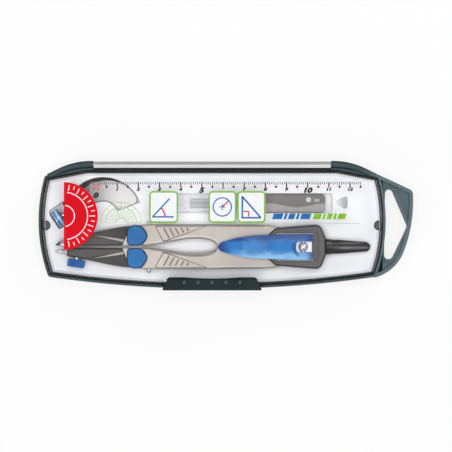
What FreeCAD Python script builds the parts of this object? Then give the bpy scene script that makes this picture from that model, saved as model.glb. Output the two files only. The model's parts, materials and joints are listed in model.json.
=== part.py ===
import FreeCAD, Part
import math
import os

# Drafting instrument case with a compass, a pen adapter and a spare lead case.
# Millimetres. X runs along the case, Y from the latch to the hinge, Z is up.
# The origin is the middle of the footprint on the table.

# Overall case
half_length = 89.2
half_depth = 30.75
case_height = 24.0
body_centre_x = -6.5
body_half_width = 82.7
rear_corner_half = 79.75
rear_corner_y = 23.65
front_corner_half = 78.05
front_corner_y = -24.5
front_bow_y = -30.2
widest_y = 2.5
rear_wall_y = 27.5
rear_straight_half = 60.0
corner_round = 1.8

# Base shell
floor_thickness = 1.6
lip_thickness = 1.05
lip_top = 14.0
ledge_top = 11.9
wall_inset = 2.4
bottom_round = 1.4

# Hinge
hinge_y = 29.0
hinge_z = 13.6
barrel_radius = 1.43
rod_radius = 0.7
running_gap = 0.05
press_gap = 0.01
horn_half_gap = 56.7
barrel_end_gap = 0.3
rod_bite = 3.5

# Lid
lid_gap = 0.3
lid_wall = 1.0
lid_plate = 1.4
lid_bottom_gap = 0.1
lid_round = 0.6
lid_inner_round = 0.4
film_thickness = 0.2
film_seat = 0.3
film_gap = 0.15
label_x = -76.5
label_y = 4.45
label_radius = 16.0
film_left = -64.5
film_right = 63.7
film_low = 0.6
film_high = 20.6

# Front latch
latch_front_half = 23.75
latch_rear_half = 20.85
latch_rear_y = -24.55
latch_pin_y = -26.0
latch_top = 23.5
latch_edge_radius = 1.45
latch_pin_z = latch_top - latch_edge_radius
latch_pin_radius = 0.6
latch_plate = 1.9
latch_wall = 1.35
latch_low = 8.6
latch_gap = 0.6
latch_dome_pitch = 6.6
latch_dome_y = -27.0
latch_bump_y = -29.8

# Tray
tray_gap = 0.2
tray_skin = 1.0
tray_top = 7.8
tray_rim_top = 9.0
tray_bevel = 1.2
stud_radius = 2.35
stud_head = 1.5
pocket_gap = 0.5
pocket_floor = 2.6
notch_floor = 6.4

# Handle
handle_rim = 1.7
handle_recess = 3.0

# Compass
axis_y = -10.2
compass_z = 12.8
rest_gap = 0.1
leg_half = 3.0
pivot_x = 36.7
stud_pin_radius = 1.5
lug_radius = 6.4
lap_gap = 0.2
head_half = 5.5
head_plate = 2.35
knee_x = -42.4
knee_offset = 5.4
knee_radius = 4.7
knee_gap = 0.3
knee_pin_radius = 1.3
ball_radius = 2.25
fork_gap = 0.35
fork_half = ball_radius + fork_gap
seat_start = 33.4
seat_end = 40.8
seat_plate = 0.15
lever_floor = compass_z + head_half + 0.3
lever_low = compass_z + leg_half + 0.3
lever_roof = lever_floor + 2.4
lever_crown = 40.0
fork_start = 35.4
ball_z = lever_floor + 1.2
lever_pin_radius = 0.65
head_start = 19.8
head_end = 47.5
head_slot_end = 44.0
flange_radius = 2.8
flange_depth = 1.3
spigot_start = 45.0
spigot_radius = 2.0
leg_spacing = 0.3
grip_depth = 0.6
grip_gap = 0.2
rib_count = 6
rib_pitch = 2.75
rib_width = 0.7
rib_height = 0.35
rib_lean = 6.1
cap_height = 1.3
stop_x = -36.7
stop_low = 8.6
stop_high = 11.6
stop_radius = 0.85
shank_half = 2.3
facet_start = -78.0
facet_y = -3.1
facet_run = -9.3
facet_slope = 14.0
knurl_count = 26
knurl_round = 0.8
wheel_lean = 8.0
wheel_radius = 4.15
wheel_width = 3.7
wheel_x = -71.4
wheel_offset = 7.9
screw_radius = 1.1
lead_radius = 1.0
lead_y = axis_y + 1.6
lead_start = -64.0
lead_tip = -81.2
collet_radius = 2.2
collet_tip = -79.0
shank_end = -75.6
lead_screw_inner = 5.1
needle_radius = 0.55
needle_y = axis_y - 2.2
mirror_needle_y = axis_y + 2.2
needle_start = -66.0
sleeve_radius = 1.5
sleeve_nose = 0.85
sleeve_length = 2.6
needle_screw_inner = 5.0

# Pen adapter
adapter_x = -58.7
adapter_y = 4.3
adapter_outer = 18.4
adapter_inner = 7.6
adapter_low = 2.7
adapter_high = 7.4
knob_x = -80.2
knob_y = 3.3
crescent_first = 22.0
crescent_last = 165.0
free_end_round = 2.6
knob_z = 6.95
knob_radius = 4.25
knob_width = 4.1
knob_angle = 33.8
adapter_screw_radius = 0.9
jaw_start = 5.5
jaw_stop = 11.5
boss_start = 13.2
boss_stop = 18.0
boss_high = 8.3

# Spare lead case
tube_left = -33.6
tube_right = 16.9
tube_end = 47.6
tube_low_y = 6.3
tube_high_y = 14.9
tube_floor = 2.7
tube_roof = 7.4
tube_middle_y = 0.5 * (tube_low_y + tube_high_y)
neck_length = 5.0
cap_travel = 3.0
rivet_x = 39.6
rivet_y = 12.3
rivet_radius = 1.5
spare_radius = 0.9
window_left = 42.0
window_right = 45.6
window_low = 11.1
window_high = 12.9


def vec(x, y, z=0.0):
    """Short name for a vector."""
    return FreeCAD.Vector(x, y, z)


def rounded_outline(corners):
    """Closed wire through corners (x, y, radius), each corner turned into a tangent arc."""
    count = len(corners)
    bends = []
    for i in range(count):
        x, y, radius = corners[i]
        here = vec(x, y)
        back = (vec(*corners[i - 1][:2]) - here).normalize()
        ahead = (vec(*corners[(i + 1) % count][:2]) - here).normalize()
        half = 0.5 * back.getAngle(ahead)
        reach = radius / math.tan(half)
        middle = here + (back + ahead).normalize() * (radius / math.sin(half) - radius)
        bends.append((here + back * reach, middle, here + ahead * reach, radius))
    edges = []
    for i in range(count):
        first, middle, last, radius = bends[i]
        if radius > 0:
            edges.append(Part.Arc(first, middle, last).toShape())
        start = bends[(i + 1) % count][0]
        if (start - last).Length > 1e-6:
            edges.append(Part.makeLine(last, start))
    return Part.Wire(edges)


def joined_outline(*runs):
    """Closed wire of runs that share ends: two points a line, three an arc, more a smooth curve."""
    edges = []
    for run in runs:
        points = [vec(x, y) for x, y in run]
        if len(points) == 2:
            edges.append(Part.makeLine(points[0], points[1]))
        elif len(points) == 3:
            edges.append(Part.Arc(*points).toShape())
        else:
            curve = Part.BSplineCurve()
            curve.interpolate(points)
            edges.append(curve.toShape())
    return Part.Wire(edges)


def prism(wire, low, high):
    """Solid between two heights over a flat outline."""
    face = Part.Face(wire)
    face.translate(vec(0, 0, low))
    return face.extrude(vec(0, 0, high - low))


def side_prism(points, left, right):
    """Solid along X over an outline of (y, z) points."""
    corners = [vec(left, y, z) for y, z in points]
    face = Part.Face(Part.makePolygon(corners + corners[:1]))
    return face.extrude(vec(right - left, 0, 0))


def box(x0, x1, y0, y1, z0, z1):
    """Block between six limits."""
    return Part.makeBox(x1 - x0, y1 - y0, z1 - z0, vec(x0, y0, z0))


def post(x, y, radius, low, high):
    """Upright round post."""
    return Part.makeCylinder(radius, high - low, vec(x, y, low))


def rod_x(left, right, y, z, radius):
    """Round bar along X."""
    return Part.makeCylinder(radius, right - left, vec(left, y, z), vec(1, 0, 0))


def rod_y(x, low, high, z, radius):
    """Round bar along Y."""
    return Part.makeCylinder(radius, high - low, vec(x, low, z), vec(0, 1, 0))


def level_edges(shape, height):
    """Edges that lie flat at one height."""
    found = []
    for edge in shape.Edges:
        bound = edge.BoundBox
        if abs(bound.ZMin - height) < 1e-4 and abs(bound.ZMax - height) < 1e-4:
            found.append(edge)
    return found


def soften(shape, height, radius):
    """Round every edge that lies at one height."""
    return shape.makeFillet(radius, level_edges(shape, height))


def mirrored(shape):
    """Copy on the other side of the compass axis."""
    return shape.mirror(vec(0, axis_y, 0), vec(0, 1, 0))


def body_outline(inset):
    """Outline of the case body, drawn in by an amount."""
    mid = body_centre_x
    rear_left = (mid - rear_corner_half, rear_corner_y)
    rear_right = (mid + rear_corner_half, rear_corner_y)
    front_left = (mid - front_corner_half, front_corner_y)
    front_right = (mid + front_corner_half, front_corner_y)
    wall_left = (mid - rear_straight_half, rear_wall_y)
    wall_right = (mid + rear_straight_half, rear_wall_y)
    sharp = joined_outline(
        [rear_left, (mid - body_half_width, widest_y), front_left],
        [front_left, (mid, front_bow_y), front_right],
        [front_right, (mid + body_half_width, widest_y), rear_right],
        [rear_right, wall_right],
        [wall_right, wall_left],
        [wall_left, rear_left],
    )
    core = sharp.makeOffset2D(-corner_round, 2)
    return core.makeOffset2D(corner_round - inset, 0)


def latch_outline(grow):
    """Plan outline of the latch flap, wider at the front, grown by a gap."""
    mid = body_centre_x
    front = half_depth + grow
    rear = latch_rear_y + grow
    front_half = latch_front_half + grow
    rear_half = latch_rear_half + grow
    return rounded_outline([
        (mid - front_half, -front, 0.6),
        (mid + front_half, -front, 0.6),
        (mid + rear_half, rear, 1.6),
        (mid - rear_half, rear, 1.6),
    ])


def horn(side):
    """Round hinge horn that tapers from the hinge line to a rear corner of the case."""
    stations = [
        (horn_half_gap, hinge_y, 1.75, 0.0),
        (61.0, hinge_y - 0.2, 1.75, 0.08),
        (66.0, 28.05, 1.65, 0.3),
        (72.3, 25.9, 1.5, 0.38),
        (78.2, 23.4, 1.2, 0.42),
    ]
    rings = []
    for reach, y, radius, lean in stations:
        centre = vec(body_centre_x + side * reach, y, hinge_z - (1.75 - radius))
        along = vec(side * math.cos(lean), -math.sin(lean), 0)
        rings.append(Part.Wire(Part.makeCircle(radius, centre, along)))
    return Part.makeLoft(rings, True)


def horn_post(side):
    """Wall below a hinge horn."""
    mid = body_centre_x
    outline = joined_outline(
        [(mid + side * horn_half_gap, rear_wall_y - 0.5), (mid + side * horn_half_gap, 30.4)],
        [(mid + side * horn_half_gap, 30.4), (mid + side * 61.0, 30.3),
         (mid + side * 66.0, 29.3), (mid + side * 72.3, 27.0), (mid + side * 78.2, 24.2)],
        [(mid + side * 78.2, 24.2), (mid + side * 77.0, 23.2)],
        [(mid + side * 77.0, 23.2), (mid + side * horn_half_gap, rear_wall_y - 0.5)],
    )
    return prism(outline, 3.0, hinge_z)


def handle_outline():
    """Outer outline of the carrying handle."""
    return joined_outline(
        [(70.0, 24.0), (72.7, 24.2)],
        [(72.7, 24.2), (half_length - 2.0, 17.4)],
        [(half_length - 2.0, 17.4), (half_length - 0.5, 16.3), (half_length, 14.6)],
        [(half_length, 14.6), (half_length - 0.9, 0.2), (half_length - 4.6, -13.0)],
        [(half_length - 4.6, -13.0), (half_length - 9.2, -19.8), (71.0, -24.9)],
        [(71.0, -24.9), (68.0, -24.0)],
        [(68.0, -24.0), (70.0, 24.0)],
    )


def handle_hole(grow):
    """Outline of the hanging hole in the handle."""
    return rounded_outline([
        (76.0 - grow, 17.2 + grow, 2.1 + grow),
        (half_length - 9.5 + grow, 17.2 + grow, 2.1 + grow),
        (half_length - 2.0 + grow, -0.5, 2.4 + grow),
        (half_length - 9.4 + grow, -16.2 - grow, 2.2 + grow),
        (75.5 - grow, -16.2 - grow, 2.2 + grow),
    ])


def make_handle():
    """Handle ring with a raised rim around a sunken web."""
    web_top = lip_top - handle_recess
    ring = prism(handle_outline(), 0.0, lip_top)
    sunken = prism(handle_outline().makeOffset2D(-handle_rim, 0), web_top, lip_top + 1)
    collar = prism(handle_hole(1.0), 0.0, web_top + 0.8)
    return ring.cut(sunken).fuse(collar).cut(prism(handle_hole(0.0), -1, lip_top + 1))


def make_base_shell():
    """Dark case bottom with handle, horns, ledge, lip and the recess for the latch."""
    mid = body_centre_x
    outer = prism(body_outline(0.0), 0.0, lip_top)
    shell = soften(outer, 0.0, bottom_round)
    shell = shell.fuse(make_handle())
    shell = shell.fuse(horn_post(-1)).fuse(horn_post(1))
    shell = shell.cut(prism(body_outline(wall_inset), floor_thickness, lip_top + 1))
    for side in (-1, 1):
        shell = shell.fuse(horn(side))
    shell = shell.cut(prism(body_outline(lip_thickness), ledge_top, lip_top + 9))
    shell = shell.cut(box(mid - horn_half_gap, mid + horn_half_gap, 20.0, 40.0, ledge_top, 40.0))
    reach = horn_half_gap + rod_bite
    shell = shell.cut(rod_x(mid - reach, mid + reach, hinge_y, hinge_z, rod_radius + press_gap))
    recess = prism(latch_outline(latch_gap), latch_low - latch_gap, 40.0)
    keep = prism(body_outline(1.75), 0.0, 40.0)
    shell = shell.cut(recess.cut(keep))
    bead = rod_x(mid - 16.0, mid + 16.0, -28.5, 10.9, 0.45)
    shell = shell.fuse(bead)
    return shell.removeSplitter()


def make_lid():
    """Clear cover with a skirt, a hinge barrel, a latch notch and a seat for the film."""
    mid = body_centre_x
    skirt = lip_thickness + lid_gap
    low = ledge_top + lid_bottom_gap
    notch_floor = latch_pin_z - latch_edge_radius - latch_gap
    notch = prism(latch_outline(latch_gap), notch_floor, 40.0)
    notch_wall = prism(latch_outline(latch_gap + lid_wall), notch_floor - lid_wall, 40.0)
    outer = soften(prism(body_outline(skirt), low, case_height), case_height, lid_round)
    inner = prism(body_outline(skirt + lid_wall), low - 1, case_height - lid_plate)
    inner = soften(inner, case_height - lid_plate, lid_inner_round)
    lid = outer.cut(inner)
    lid = lid.fuse(outer.common(notch_wall)).cut(notch)
    half = horn_half_gap - barrel_end_gap
    web = box(mid - half, mid + half, rear_wall_y - skirt - 0.6, hinge_y, hinge_z - 0.6, hinge_z + 0.7)
    barrel = rod_x(mid - half, mid + half, hinge_y, hinge_z, barrel_radius)
    lid = lid.fuse(web).fuse(barrel)
    lid = lid.cut(rod_x(mid - half, mid + half, hinge_y, hinge_z, rod_radius + running_gap))
    reach = latch_rear_half + latch_gap + lid_wall
    lid = lid.cut(rod_x(mid - reach, mid + reach, latch_pin_y, latch_pin_z, latch_pin_radius + press_gap))
    seat_low = case_height - film_seat
    lid = lid.cut(prism(film_outline(film_gap), seat_low, case_height + 1))
    lid = lid.cut(prism(label_outline(film_gap), seat_low, case_height + 1))
    return lid.removeSplitter()


def film_outline(grow):
    """Outline of the printed film."""
    return rounded_outline([
        (film_left - grow, film_low - grow, 1.5),
        (film_right + grow, film_low - grow, 1.5),
        (film_right + grow, film_high + grow, 1.5),
        (film_left - grow, film_high + grow, 1.5),
    ])


def label_outline(grow):
    """Half-round outline of the coloured label at the left end of the lid."""
    top = (label_x - grow, label_y + label_radius + grow)
    tip = (label_x + label_radius + grow, label_y)
    low = (label_x - grow, label_y - label_radius - grow)
    return joined_outline([top, tip, low], [low, top])


def make_film():
    """Printed film lying in its seat on the lid, cut out around the label."""
    low = case_height - film_seat
    film = prism(film_outline(0.0), low, low + film_thickness)
    return film.cut(prism(label_outline(film_gap), 0.0, 40.0))


def make_label():
    """Coloured label lying in its seat on the lid."""
    low = case_height - film_seat
    return prism(label_outline(0.0), low, low + film_thickness)


def dome(x, y, radius, height):
    """Low round bump standing on the latch plate."""
    ball = (radius * radius + height * height) / (2 * height)
    bump = Part.makeSphere(ball, vec(x, y, latch_top + height - ball))
    return bump.common(post(x, y, 2 * radius, latch_top - 0.2, 40.0))


def latch_domes():
    """Row of grip domes and a row of small bumps along the front edge."""
    domes = []
    for i in range(5):
        domes.append(dome(body_centre_x + latch_dome_pitch * (i - 2), latch_dome_y, 1.4, 0.5))
    for i in range(7):
        domes.append(dome(body_centre_x + latch_dome_pitch * (i - 3), latch_bump_y, 0.75, 0.35))
    return Part.makeCompound(domes)


def make_latch():
    """Closing flap: round hinge edge, top plate, front wall with a hook and grip domes."""
    mid = body_centre_x
    left = mid - latch_front_half - 1
    right = mid + latch_front_half + 1
    back = -half_depth + latch_wall
    low_face = latch_top - latch_plate
    plate = side_prism([(latch_pin_y, latch_top), (latch_pin_y, low_face), (back, low_face),
                        (back, latch_low), (-half_depth, latch_low), (-half_depth, latch_top)], left, right)
    edge = rod_x(left, right, latch_pin_y, latch_pin_z, latch_edge_radius)
    hook = side_prism([(back, latch_low), (back + 0.3, latch_low + 0.3), (back + 0.3, latch_low + 0.8),
                       (back, latch_low + 1.4)], mid - 15.0, mid + 15.0)
    flap = plate.fuse(edge).fuse(hook)
    flap = flap.common(prism(latch_outline(0.0), 0.0, 40.0))
    flap = flap.cut(Part.makeCylinder(150.0, 40.0, vec(mid, latch_rear_y + 149.4, 0)))
    flap = flap.fuse(latch_domes())
    flap = flap.cut(rod_x(left, right, latch_pin_y, latch_pin_z, latch_pin_radius + running_gap))
    return flap.removeSplitter()


def make_latch_pin():
    """Pin of the latch, pressed into the cheeks of the lid notch."""
    reach = latch_rear_half + latch_gap + 0.8 * lid_wall
    mid = body_centre_x
    return rod_x(mid - reach, mid + reach, latch_pin_y, latch_pin_z, latch_pin_radius)


def make_hinge_rod():
    """Steel rod through the lid barrel, held in both horns."""
    reach = horn_half_gap + rod_bite
    return rod_x(body_centre_x - reach, body_centre_x + reach, hinge_y, hinge_z, rod_radius)


def knob_point(along, across):
    """Plan point in the directions of the adapter screw."""
    turn = math.radians(knob_angle)
    x = knob_x + along * math.cos(turn) - across * math.sin(turn)
    y = knob_y + along * math.sin(turn) + across * math.cos(turn)
    return (x, y)


def knob_block(start, stop, low_side, high_side, low, high, radius):
    """Round-cornered block laid along the adapter screw."""
    corners = [(start, low_side), (stop, low_side), (stop, high_side), (start, high_side)]
    outline = rounded_outline([knob_point(a, b) + (radius,) for a, b in corners])
    return prism(outline, low, high)


def crescent(grow, low, high):
    """Curved arm of the adapter, a sector of a ring."""
    first = math.radians(crescent_first) - grow / adapter_outer
    last = math.radians(crescent_last) + grow / adapter_outer
    middle = 0.5 * (first + last)
    rim = []
    for radius in (adapter_outer + grow, adapter_inner - grow):
        ends = []
        for angle in (first, middle, last):
            ends.append((adapter_x + radius * math.cos(angle), adapter_y + radius * math.sin(angle)))
        rim.append(ends)
    outer, inner = rim
    wire = joined_outline(outer, [outer[2], inner[2]], inner[::-1], [inner[0], outer[0]])
    return prism(wire, low, high)


def adapter_space(grow, low, high):
    """Room for the whole adapter with its knob."""
    arm = crescent(grow, low, high)
    block = knob_block(-2.0, boss_stop + grow, -3.2 - grow, 5.2 + grow, low, high, 1.0)
    side = knob_radius + grow
    knob = knob_block(-0.5 * knob_width - grow, 0.5 * knob_width + grow, -side, side, low, high, 0.8)
    return arm.fuse(block).fuse(knob)


def tube_space(grow, low, high):
    """Room for the spare lead case and the travel of its cap."""
    return prism(tube_outline(tube_left - grow, tube_end + cap_travel + grow, grow), low, high)


def tube_outline(left, right, grow):
    """Round-cornered plan of the spare lead case between two ends."""
    low = tube_low_y - grow
    high = tube_high_y + grow
    return rounded_outline([(left, low, 1.5), (right, low, 1.5), (right, high, 1.5), (left, high, 1.5)])


def stud_outline(side, grow):
    """Half-round plan of a tray stud, flat towards the end wall."""
    x = body_centre_x + side * (body_half_width - wall_inset - tray_gap - 0.3)
    r = stud_radius + grow
    return joined_outline([(x, r), (x - side * r, 0.0), (x, -r)], [(x, -r), (x, r)])


def stud_peg(side, grow):
    """Peg of a tray stud, standing on the floor of the base."""
    x = body_centre_x + side * (body_half_width - wall_inset - tray_gap - 0.3)
    near = x - side * (1.9 + grow)
    far = x - side * (0.9 - grow)
    return box(min(near, far), max(near, far), -0.8 - grow, 0.8 + grow, floor_thickness, tray_top)


def make_studs():
    """Two slotted half-round studs that hold the tray down."""
    both = []
    for side in (-1, 1):
        top = tray_top + stud_head
        head = prism(stud_outline(side, 0.0), tray_top, top)
        head = head.makeChamfer(0.4, level_edges(head, top))
        slot = box(-half_length, half_length, -0.4, 0.4, top - 0.7, top + 1)
        both.append(head.cut(slot).fuse(stud_peg(side, 0.0)))
    return Part.makeCompound(both)


def thumb_notch(grow):
    """Rounded triangle of the thumb notch, pointing at the spare lead case."""
    return rounded_outline([
        (51.4 - 2 * grow, 10.9, 1.0 + grow),
        (58.3 + grow, 7.1 - grow, 1.3 + grow),
        (58.3 + grow, 14.7 + grow, 1.3 + grow),
    ])


def make_tray():
    """White tray: plate with a bevelled rim, a skirt and cups for the contents."""
    edge = wall_inset + tray_gap
    under = tray_top - tray_skin
    block = prism(body_outline(edge), floor_thickness, tray_rim_top)
    rim_low = body_outline(edge + tray_bevel)
    rim_high = body_outline(edge + 0.15)
    rim_low.translate(vec(0, 0, tray_top))
    rim_high.translate(vec(0, 0, tray_rim_top + 0.05))
    tray = block.cut(prism(body_outline(edge + tray_skin), floor_thickness, under))
    tray = tray.cut(Part.makeLoft([rim_low, rim_high], True, True))
    tray = tray.fuse(adapter_space(pocket_gap + tray_skin, floor_thickness, tray_top))
    tray = tray.fuse(tube_space(pocket_gap + tray_skin, floor_thickness, tray_top))
    tray = tray.cut(adapter_space(pocket_gap, pocket_floor, 40.0))
    tray = tray.cut(tube_space(pocket_gap, pocket_floor, 40.0))
    head_floor = compass_z - head_half - rest_gap
    tray = tray.cut(prism(head_outline(pocket_gap), head_floor, 40.0))
    rest = rounded_outline([(-44.9, -17.6, 1), (-39.9, -17.6, 1), (-39.9, -2.8, 1), (-44.9, -2.8, 1)])
    tray = tray.fuse(prism(rest, under, compass_z - leg_half - rest_gap))
    tray = tray.fuse(prism(thumb_notch(tray_skin), notch_floor - tray_skin, tray_top))
    tray = tray.cut(prism(thumb_notch(0.0), notch_floor, 40.0))
    for side in (-1, 1):
        tray = tray.cut(prism(stud_outline(side, running_gap), tray_top, 40.0))
        tray = tray.cut(stud_peg(side, running_gap))
    return tray.removeSplitter()


def head_outline(grow):
    """Plan outline of the compass head, grown by a gap."""
    side = [
        (head_start - grow, 5.5 + grow, 0.0),
        (23.6, 8.9 + grow, 3.0),
        (44.9 + grow, 10.6 + grow, 3.2),
        (head_end + grow, 3.9 + grow, 0.8),
    ]
    top = [(x, axis_y + h, radius) for x, h, radius in side]
    low = [(x, axis_y - h, radius) for x, h, radius in side]
    return rounded_outline(top + low[::-1])


def make_head():
    """Compass head: a fork whose two plates hold the legs."""
    low = compass_z - head_half
    high = compass_z + head_half
    slot = 0.5 * (2 * head_half - 2 * head_plate)
    head = soften(prism(head_outline(0.0), low, high), high, 0.9)
    head = head.cut(box(0.0, head_slot_end, -40.0, 20.0, compass_z - slot, compass_z + slot))
    head = head.cut(post(pivot_x, axis_y, stud_pin_radius + press_gap, low - 1, high + 1))
    head = head.cut(post(pivot_x, axis_y, flange_radius + press_gap, low - 1, low + flange_depth))
    return head.cut(rod_x(spigot_start, 60.0, axis_y, compass_z, spigot_radius + press_gap))


def make_stem():
    """Turned handle with a rounded end and a spigot in the head."""
    start = head_end
    curve = Part.BSplineCurve()
    curve.interpolate([vec(48.6, 3.75), vec(53.0, 3.45), vec(60.0, 2.9), vec(66.6, 2.4)])
    edges = [
        Part.makeLine(vec(start, 0), vec(start, 3.2)),
        Part.Arc(vec(start, 3.2), vec(47.85, 3.6), vec(48.6, 3.75)).toShape(),
        curve.toShape(),
        Part.Arc(vec(66.6, 2.4), vec(68.3, 1.5), vec(68.9, 0.3)).toShape(),
        Part.makeLine(vec(68.9, 0.3), vec(68.9, 0)),
        Part.makeLine(vec(68.9, 0), vec(start, 0)),
    ]
    stem = Part.Face(Part.Wire(edges)).revolve(vec(0, 0, 0), vec(1, 0, 0), 360)
    stem.translate(vec(0, axis_y, compass_z))
    for x in (50.6, 51.8):
        ring = rod_x(x, x + 0.5, axis_y, compass_z, 5.0).cut(rod_x(x, x + 0.5, axis_y, compass_z, 3.25))
        stem = stem.cut(ring)
    return stem.fuse(rod_x(spigot_start, start, axis_y, compass_z, spigot_radius))


def make_stud():
    """Steel clamp stud: flange below, shaft through both legs, ball on top."""
    low = compass_z - head_half
    high = compass_z + head_half
    stud = post(pivot_x, axis_y, stud_pin_radius, low + rest_gap, ball_z)
    stud = stud.fuse(post(pivot_x, axis_y, flange_radius, low + rest_gap, low + flange_depth))
    ball = Part.makeSphere(ball_radius, vec(pivot_x, axis_y, ball_z))
    ball = ball.common(post(pivot_x, axis_y, 5.0, high + rest_gap, 40.0))
    seat_half = fork_half - rest_gap
    seat_low = high + rest_gap
    seat = box(seat_start, seat_end, axis_y - seat_half, axis_y + seat_half, seat_low, seat_low + seat_plate)
    hole = rod_y(pivot_x, axis_y - 5, axis_y + 5, ball_z, lever_pin_radius + running_gap)
    return stud.fuse(ball).fuse(seat).cut(hole)


def make_lever():
    """Blue lock lever: long tapered tongue with a fork around the ball."""
    side = [(-1.6, 2.3), (4.0, 3.9), (10.0, 5.0), (20.0, 5.7), (30.0, 6.0), (41.1, 6.05)]
    top = [(x, axis_y + h) for x, h in side]
    low = [(x, axis_y - h) for x, h in side]
    plan = joined_outline(top, [top[-1], low[-1]], low[::-1], [low[0], (-3.5, axis_y), top[0]])
    step = lever_floor - lever_low
    profile = [(-5.0, lever_low), (18.7, lever_low), (19.2, lever_low + step), (38.0, lever_floor),
               (41.2, lever_floor + 0.6), (41.2, lever_roof - 0.5), (37.0, lever_roof), (20.0, lever_roof),
               (8.0, lever_roof - 1.3), (-5.0, lever_low + 1.3)]
    corners = [vec(x, axis_y - 20.0, z) for x, z in profile]
    slab = Part.Face(Part.makePolygon(corners + corners[:1])).extrude(vec(0, 40.0, 0))
    crown = rod_x(-10.0, 60.0, axis_y, lever_roof - lever_crown, lever_crown)
    lever = prism(plan, 10.0, 30.0).common(slab).common(crown)
    lever = lever.cut(box(fork_start, 60.0, axis_y - fork_half, axis_y + fork_half, 10.0, 30.0))
    lever = lever.cut(post(fork_start, axis_y, fork_half, 10.0, 30.0))
    return lever.cut(rod_y(pivot_x, axis_y - 9, axis_y + 9, ball_z, lever_pin_radius + press_gap))


def make_lever_pin():
    """Cross pin of the lever through the ball."""
    return rod_y(pivot_x, axis_y - 5.5, axis_y + 5.5, ball_z, lever_pin_radius)


def leg_outline():
    """Plan outline of the leg on the hinge side of the axis."""
    inner = axis_y + 0.5 * leg_spacing
    knee_y = axis_y + knee_offset
    outer = [(-43.0, knee_y + 4.66), (-38.0, 0.3), (-28.0, 0.5), (-8.0, 0.5), (10.0, 0.2),
             (23.0, -0.4), (30.5, -2.8)]
    lens = [(-4.1, inner), (-4.4, -9.1), (-5.4, -8.1), (-7.9, -7.0), (-13.0, -6.3), (-20.0, -6.7),
            (-30.0, -8.6), (-41.4, -9.4)]
    return joined_outline(
        outer,
        [outer[-1], (33.0, -6.0)],
        [(33.0, -6.0), (33.0, inner)],
        [(33.0, inner), lens[0]],
        lens,
        [lens[-1], (knee_x - knee_radius, knee_y), outer[0]],
    )


def grip_outline(grow):
    """Rounded triangle of a finger panel."""
    return rounded_outline([
        (-33.4 - grow, -0.6 + grow, 0.6),
        (-29.5 - grow, -7.4 - grow, 1.2),
        (-10.4 + 6 * grow, -0.6 + grow, 0.5),
    ])


def make_leg(lug_up):
    """Leg with a half-thickness lug at the head and a half-thickness tongue at the knee."""
    low = compass_z - leg_half
    high = compass_z + leg_half
    leg = soften(prism(leg_outline(), low, high), high, 0.6)
    upper = (compass_z + 0.5 * lap_gap, high)
    lower = (low, compass_z - 0.5 * lap_gap)
    own = upper if lug_up else lower
    clear = (low - 1, upper[0]) if lug_up else (lower[1], high + 1)
    leg = leg.cut(post(pivot_x, axis_y, lug_radius + knee_gap, *clear))
    leg = leg.fuse(post(pivot_x, axis_y, lug_radius, *own))
    leg = leg.cut(post(pivot_x, axis_y, stud_pin_radius + running_gap, low - 1, high + 1))
    knee_y = axis_y + knee_offset
    leg = leg.cut(post(knee_x, knee_y, knee_radius + knee_gap, lower[1], high + 1))
    leg = leg.cut(post(knee_x, knee_y, knee_pin_radius + press_gap, low - 1, high + 1))
    leg = leg.cut(prism(grip_outline(grip_gap), high - grip_depth, high + 1))
    stop = rod_y(stop_x, axis_y + stop_low, axis_y + stop_high, compass_z, stop_radius + press_gap)
    return leg.cut(stop)


def make_grip():
    """Finger panel with slanted ribs."""
    high = compass_z + leg_half
    plate = prism(grip_outline(0.0), high - grip_depth, high)
    ribs = []
    for i in range(rib_count):
        left = -31.3 + rib_pitch * i
        right = left + rib_width
        bar = rounded_outline([
            (left, 1.5, 0.2),
            (right, 1.5, 0.2),
            (right + rib_lean, -10.0, 0.2),
            (left + rib_lean, -10.0, 0.2),
        ])
        ribs.append(prism(bar, high - 0.1, high + rib_height))
    inside = prism(grip_outline(-0.6), high - 0.2, high + 1)
    return plate.fuse(Part.makeCompound(ribs).common(inside)).removeSplitter()


def make_knee_pin():
    """Knee pin from the bottom of the leg to the underside of the cap."""
    high = compass_z + leg_half
    return post(knee_x, axis_y + knee_offset, knee_pin_radius, compass_z - leg_half, high)


def make_knee_cap():
    """Rounded triangular cover of a knee."""
    knee_y = axis_y + knee_offset
    low = compass_z + leg_half
    outline = rounded_outline([
        (knee_x - 4.7, knee_y + 4.95, 3.6),
        (knee_x - 4.6, knee_y - 4.8, 1.9),
        (knee_x + 2.2, knee_y - 4.8, 2.6),
        (knee_x + 5.9, knee_y - 0.4, 2.8),
        (knee_x + 2.0, knee_y + 4.95, 3.9),
    ])
    return soften(prism(outline, low, low + cap_height), low + cap_height, 0.7)


def make_stop():
    """Small bright stud in the outer edge of a leg."""
    rod = rod_y(stop_x, axis_y + stop_low, axis_y + stop_high, compass_z, stop_radius)
    return rod.fuse(Part.makeSphere(stop_radius, vec(stop_x, axis_y + stop_high, compass_z)))


def wheel_point(along):
    """Point on the axis of a clamp wheel, counted from its middle towards the outside."""
    lean = math.radians(wheel_lean)
    return vec(wheel_x - along * math.sin(lean), axis_y + wheel_offset + along * math.cos(lean), compass_z)


def wheel_rod(start, stop, radius):
    """Round bar on the axis of a clamp wheel."""
    first = wheel_point(start)
    return Part.makeCylinder(radius, stop - start, first, wheel_point(stop) - first)


def knurled(start, along, radius, length):
    """Disc with a ring of grip grooves around its rim."""
    axis = vec(along.x, along.y, along.z).normalize()
    disc = Part.makeCylinder(radius, length, start, axis)
    disc = disc.makeFillet(knurl_round, [e for e in disc.Edges if len(e.Vertexes) == 1])
    groove = Part.makeCylinder(0.38, length, start + vec(0, 0, radius + 0.12), axis)
    grooves = []
    for i in range(knurl_count):
        cut = groove.copy()
        cut.rotate(start, axis, 360.0 * i / knurl_count)
        grooves.append(cut)
    return disc.cut(grooves)


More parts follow.
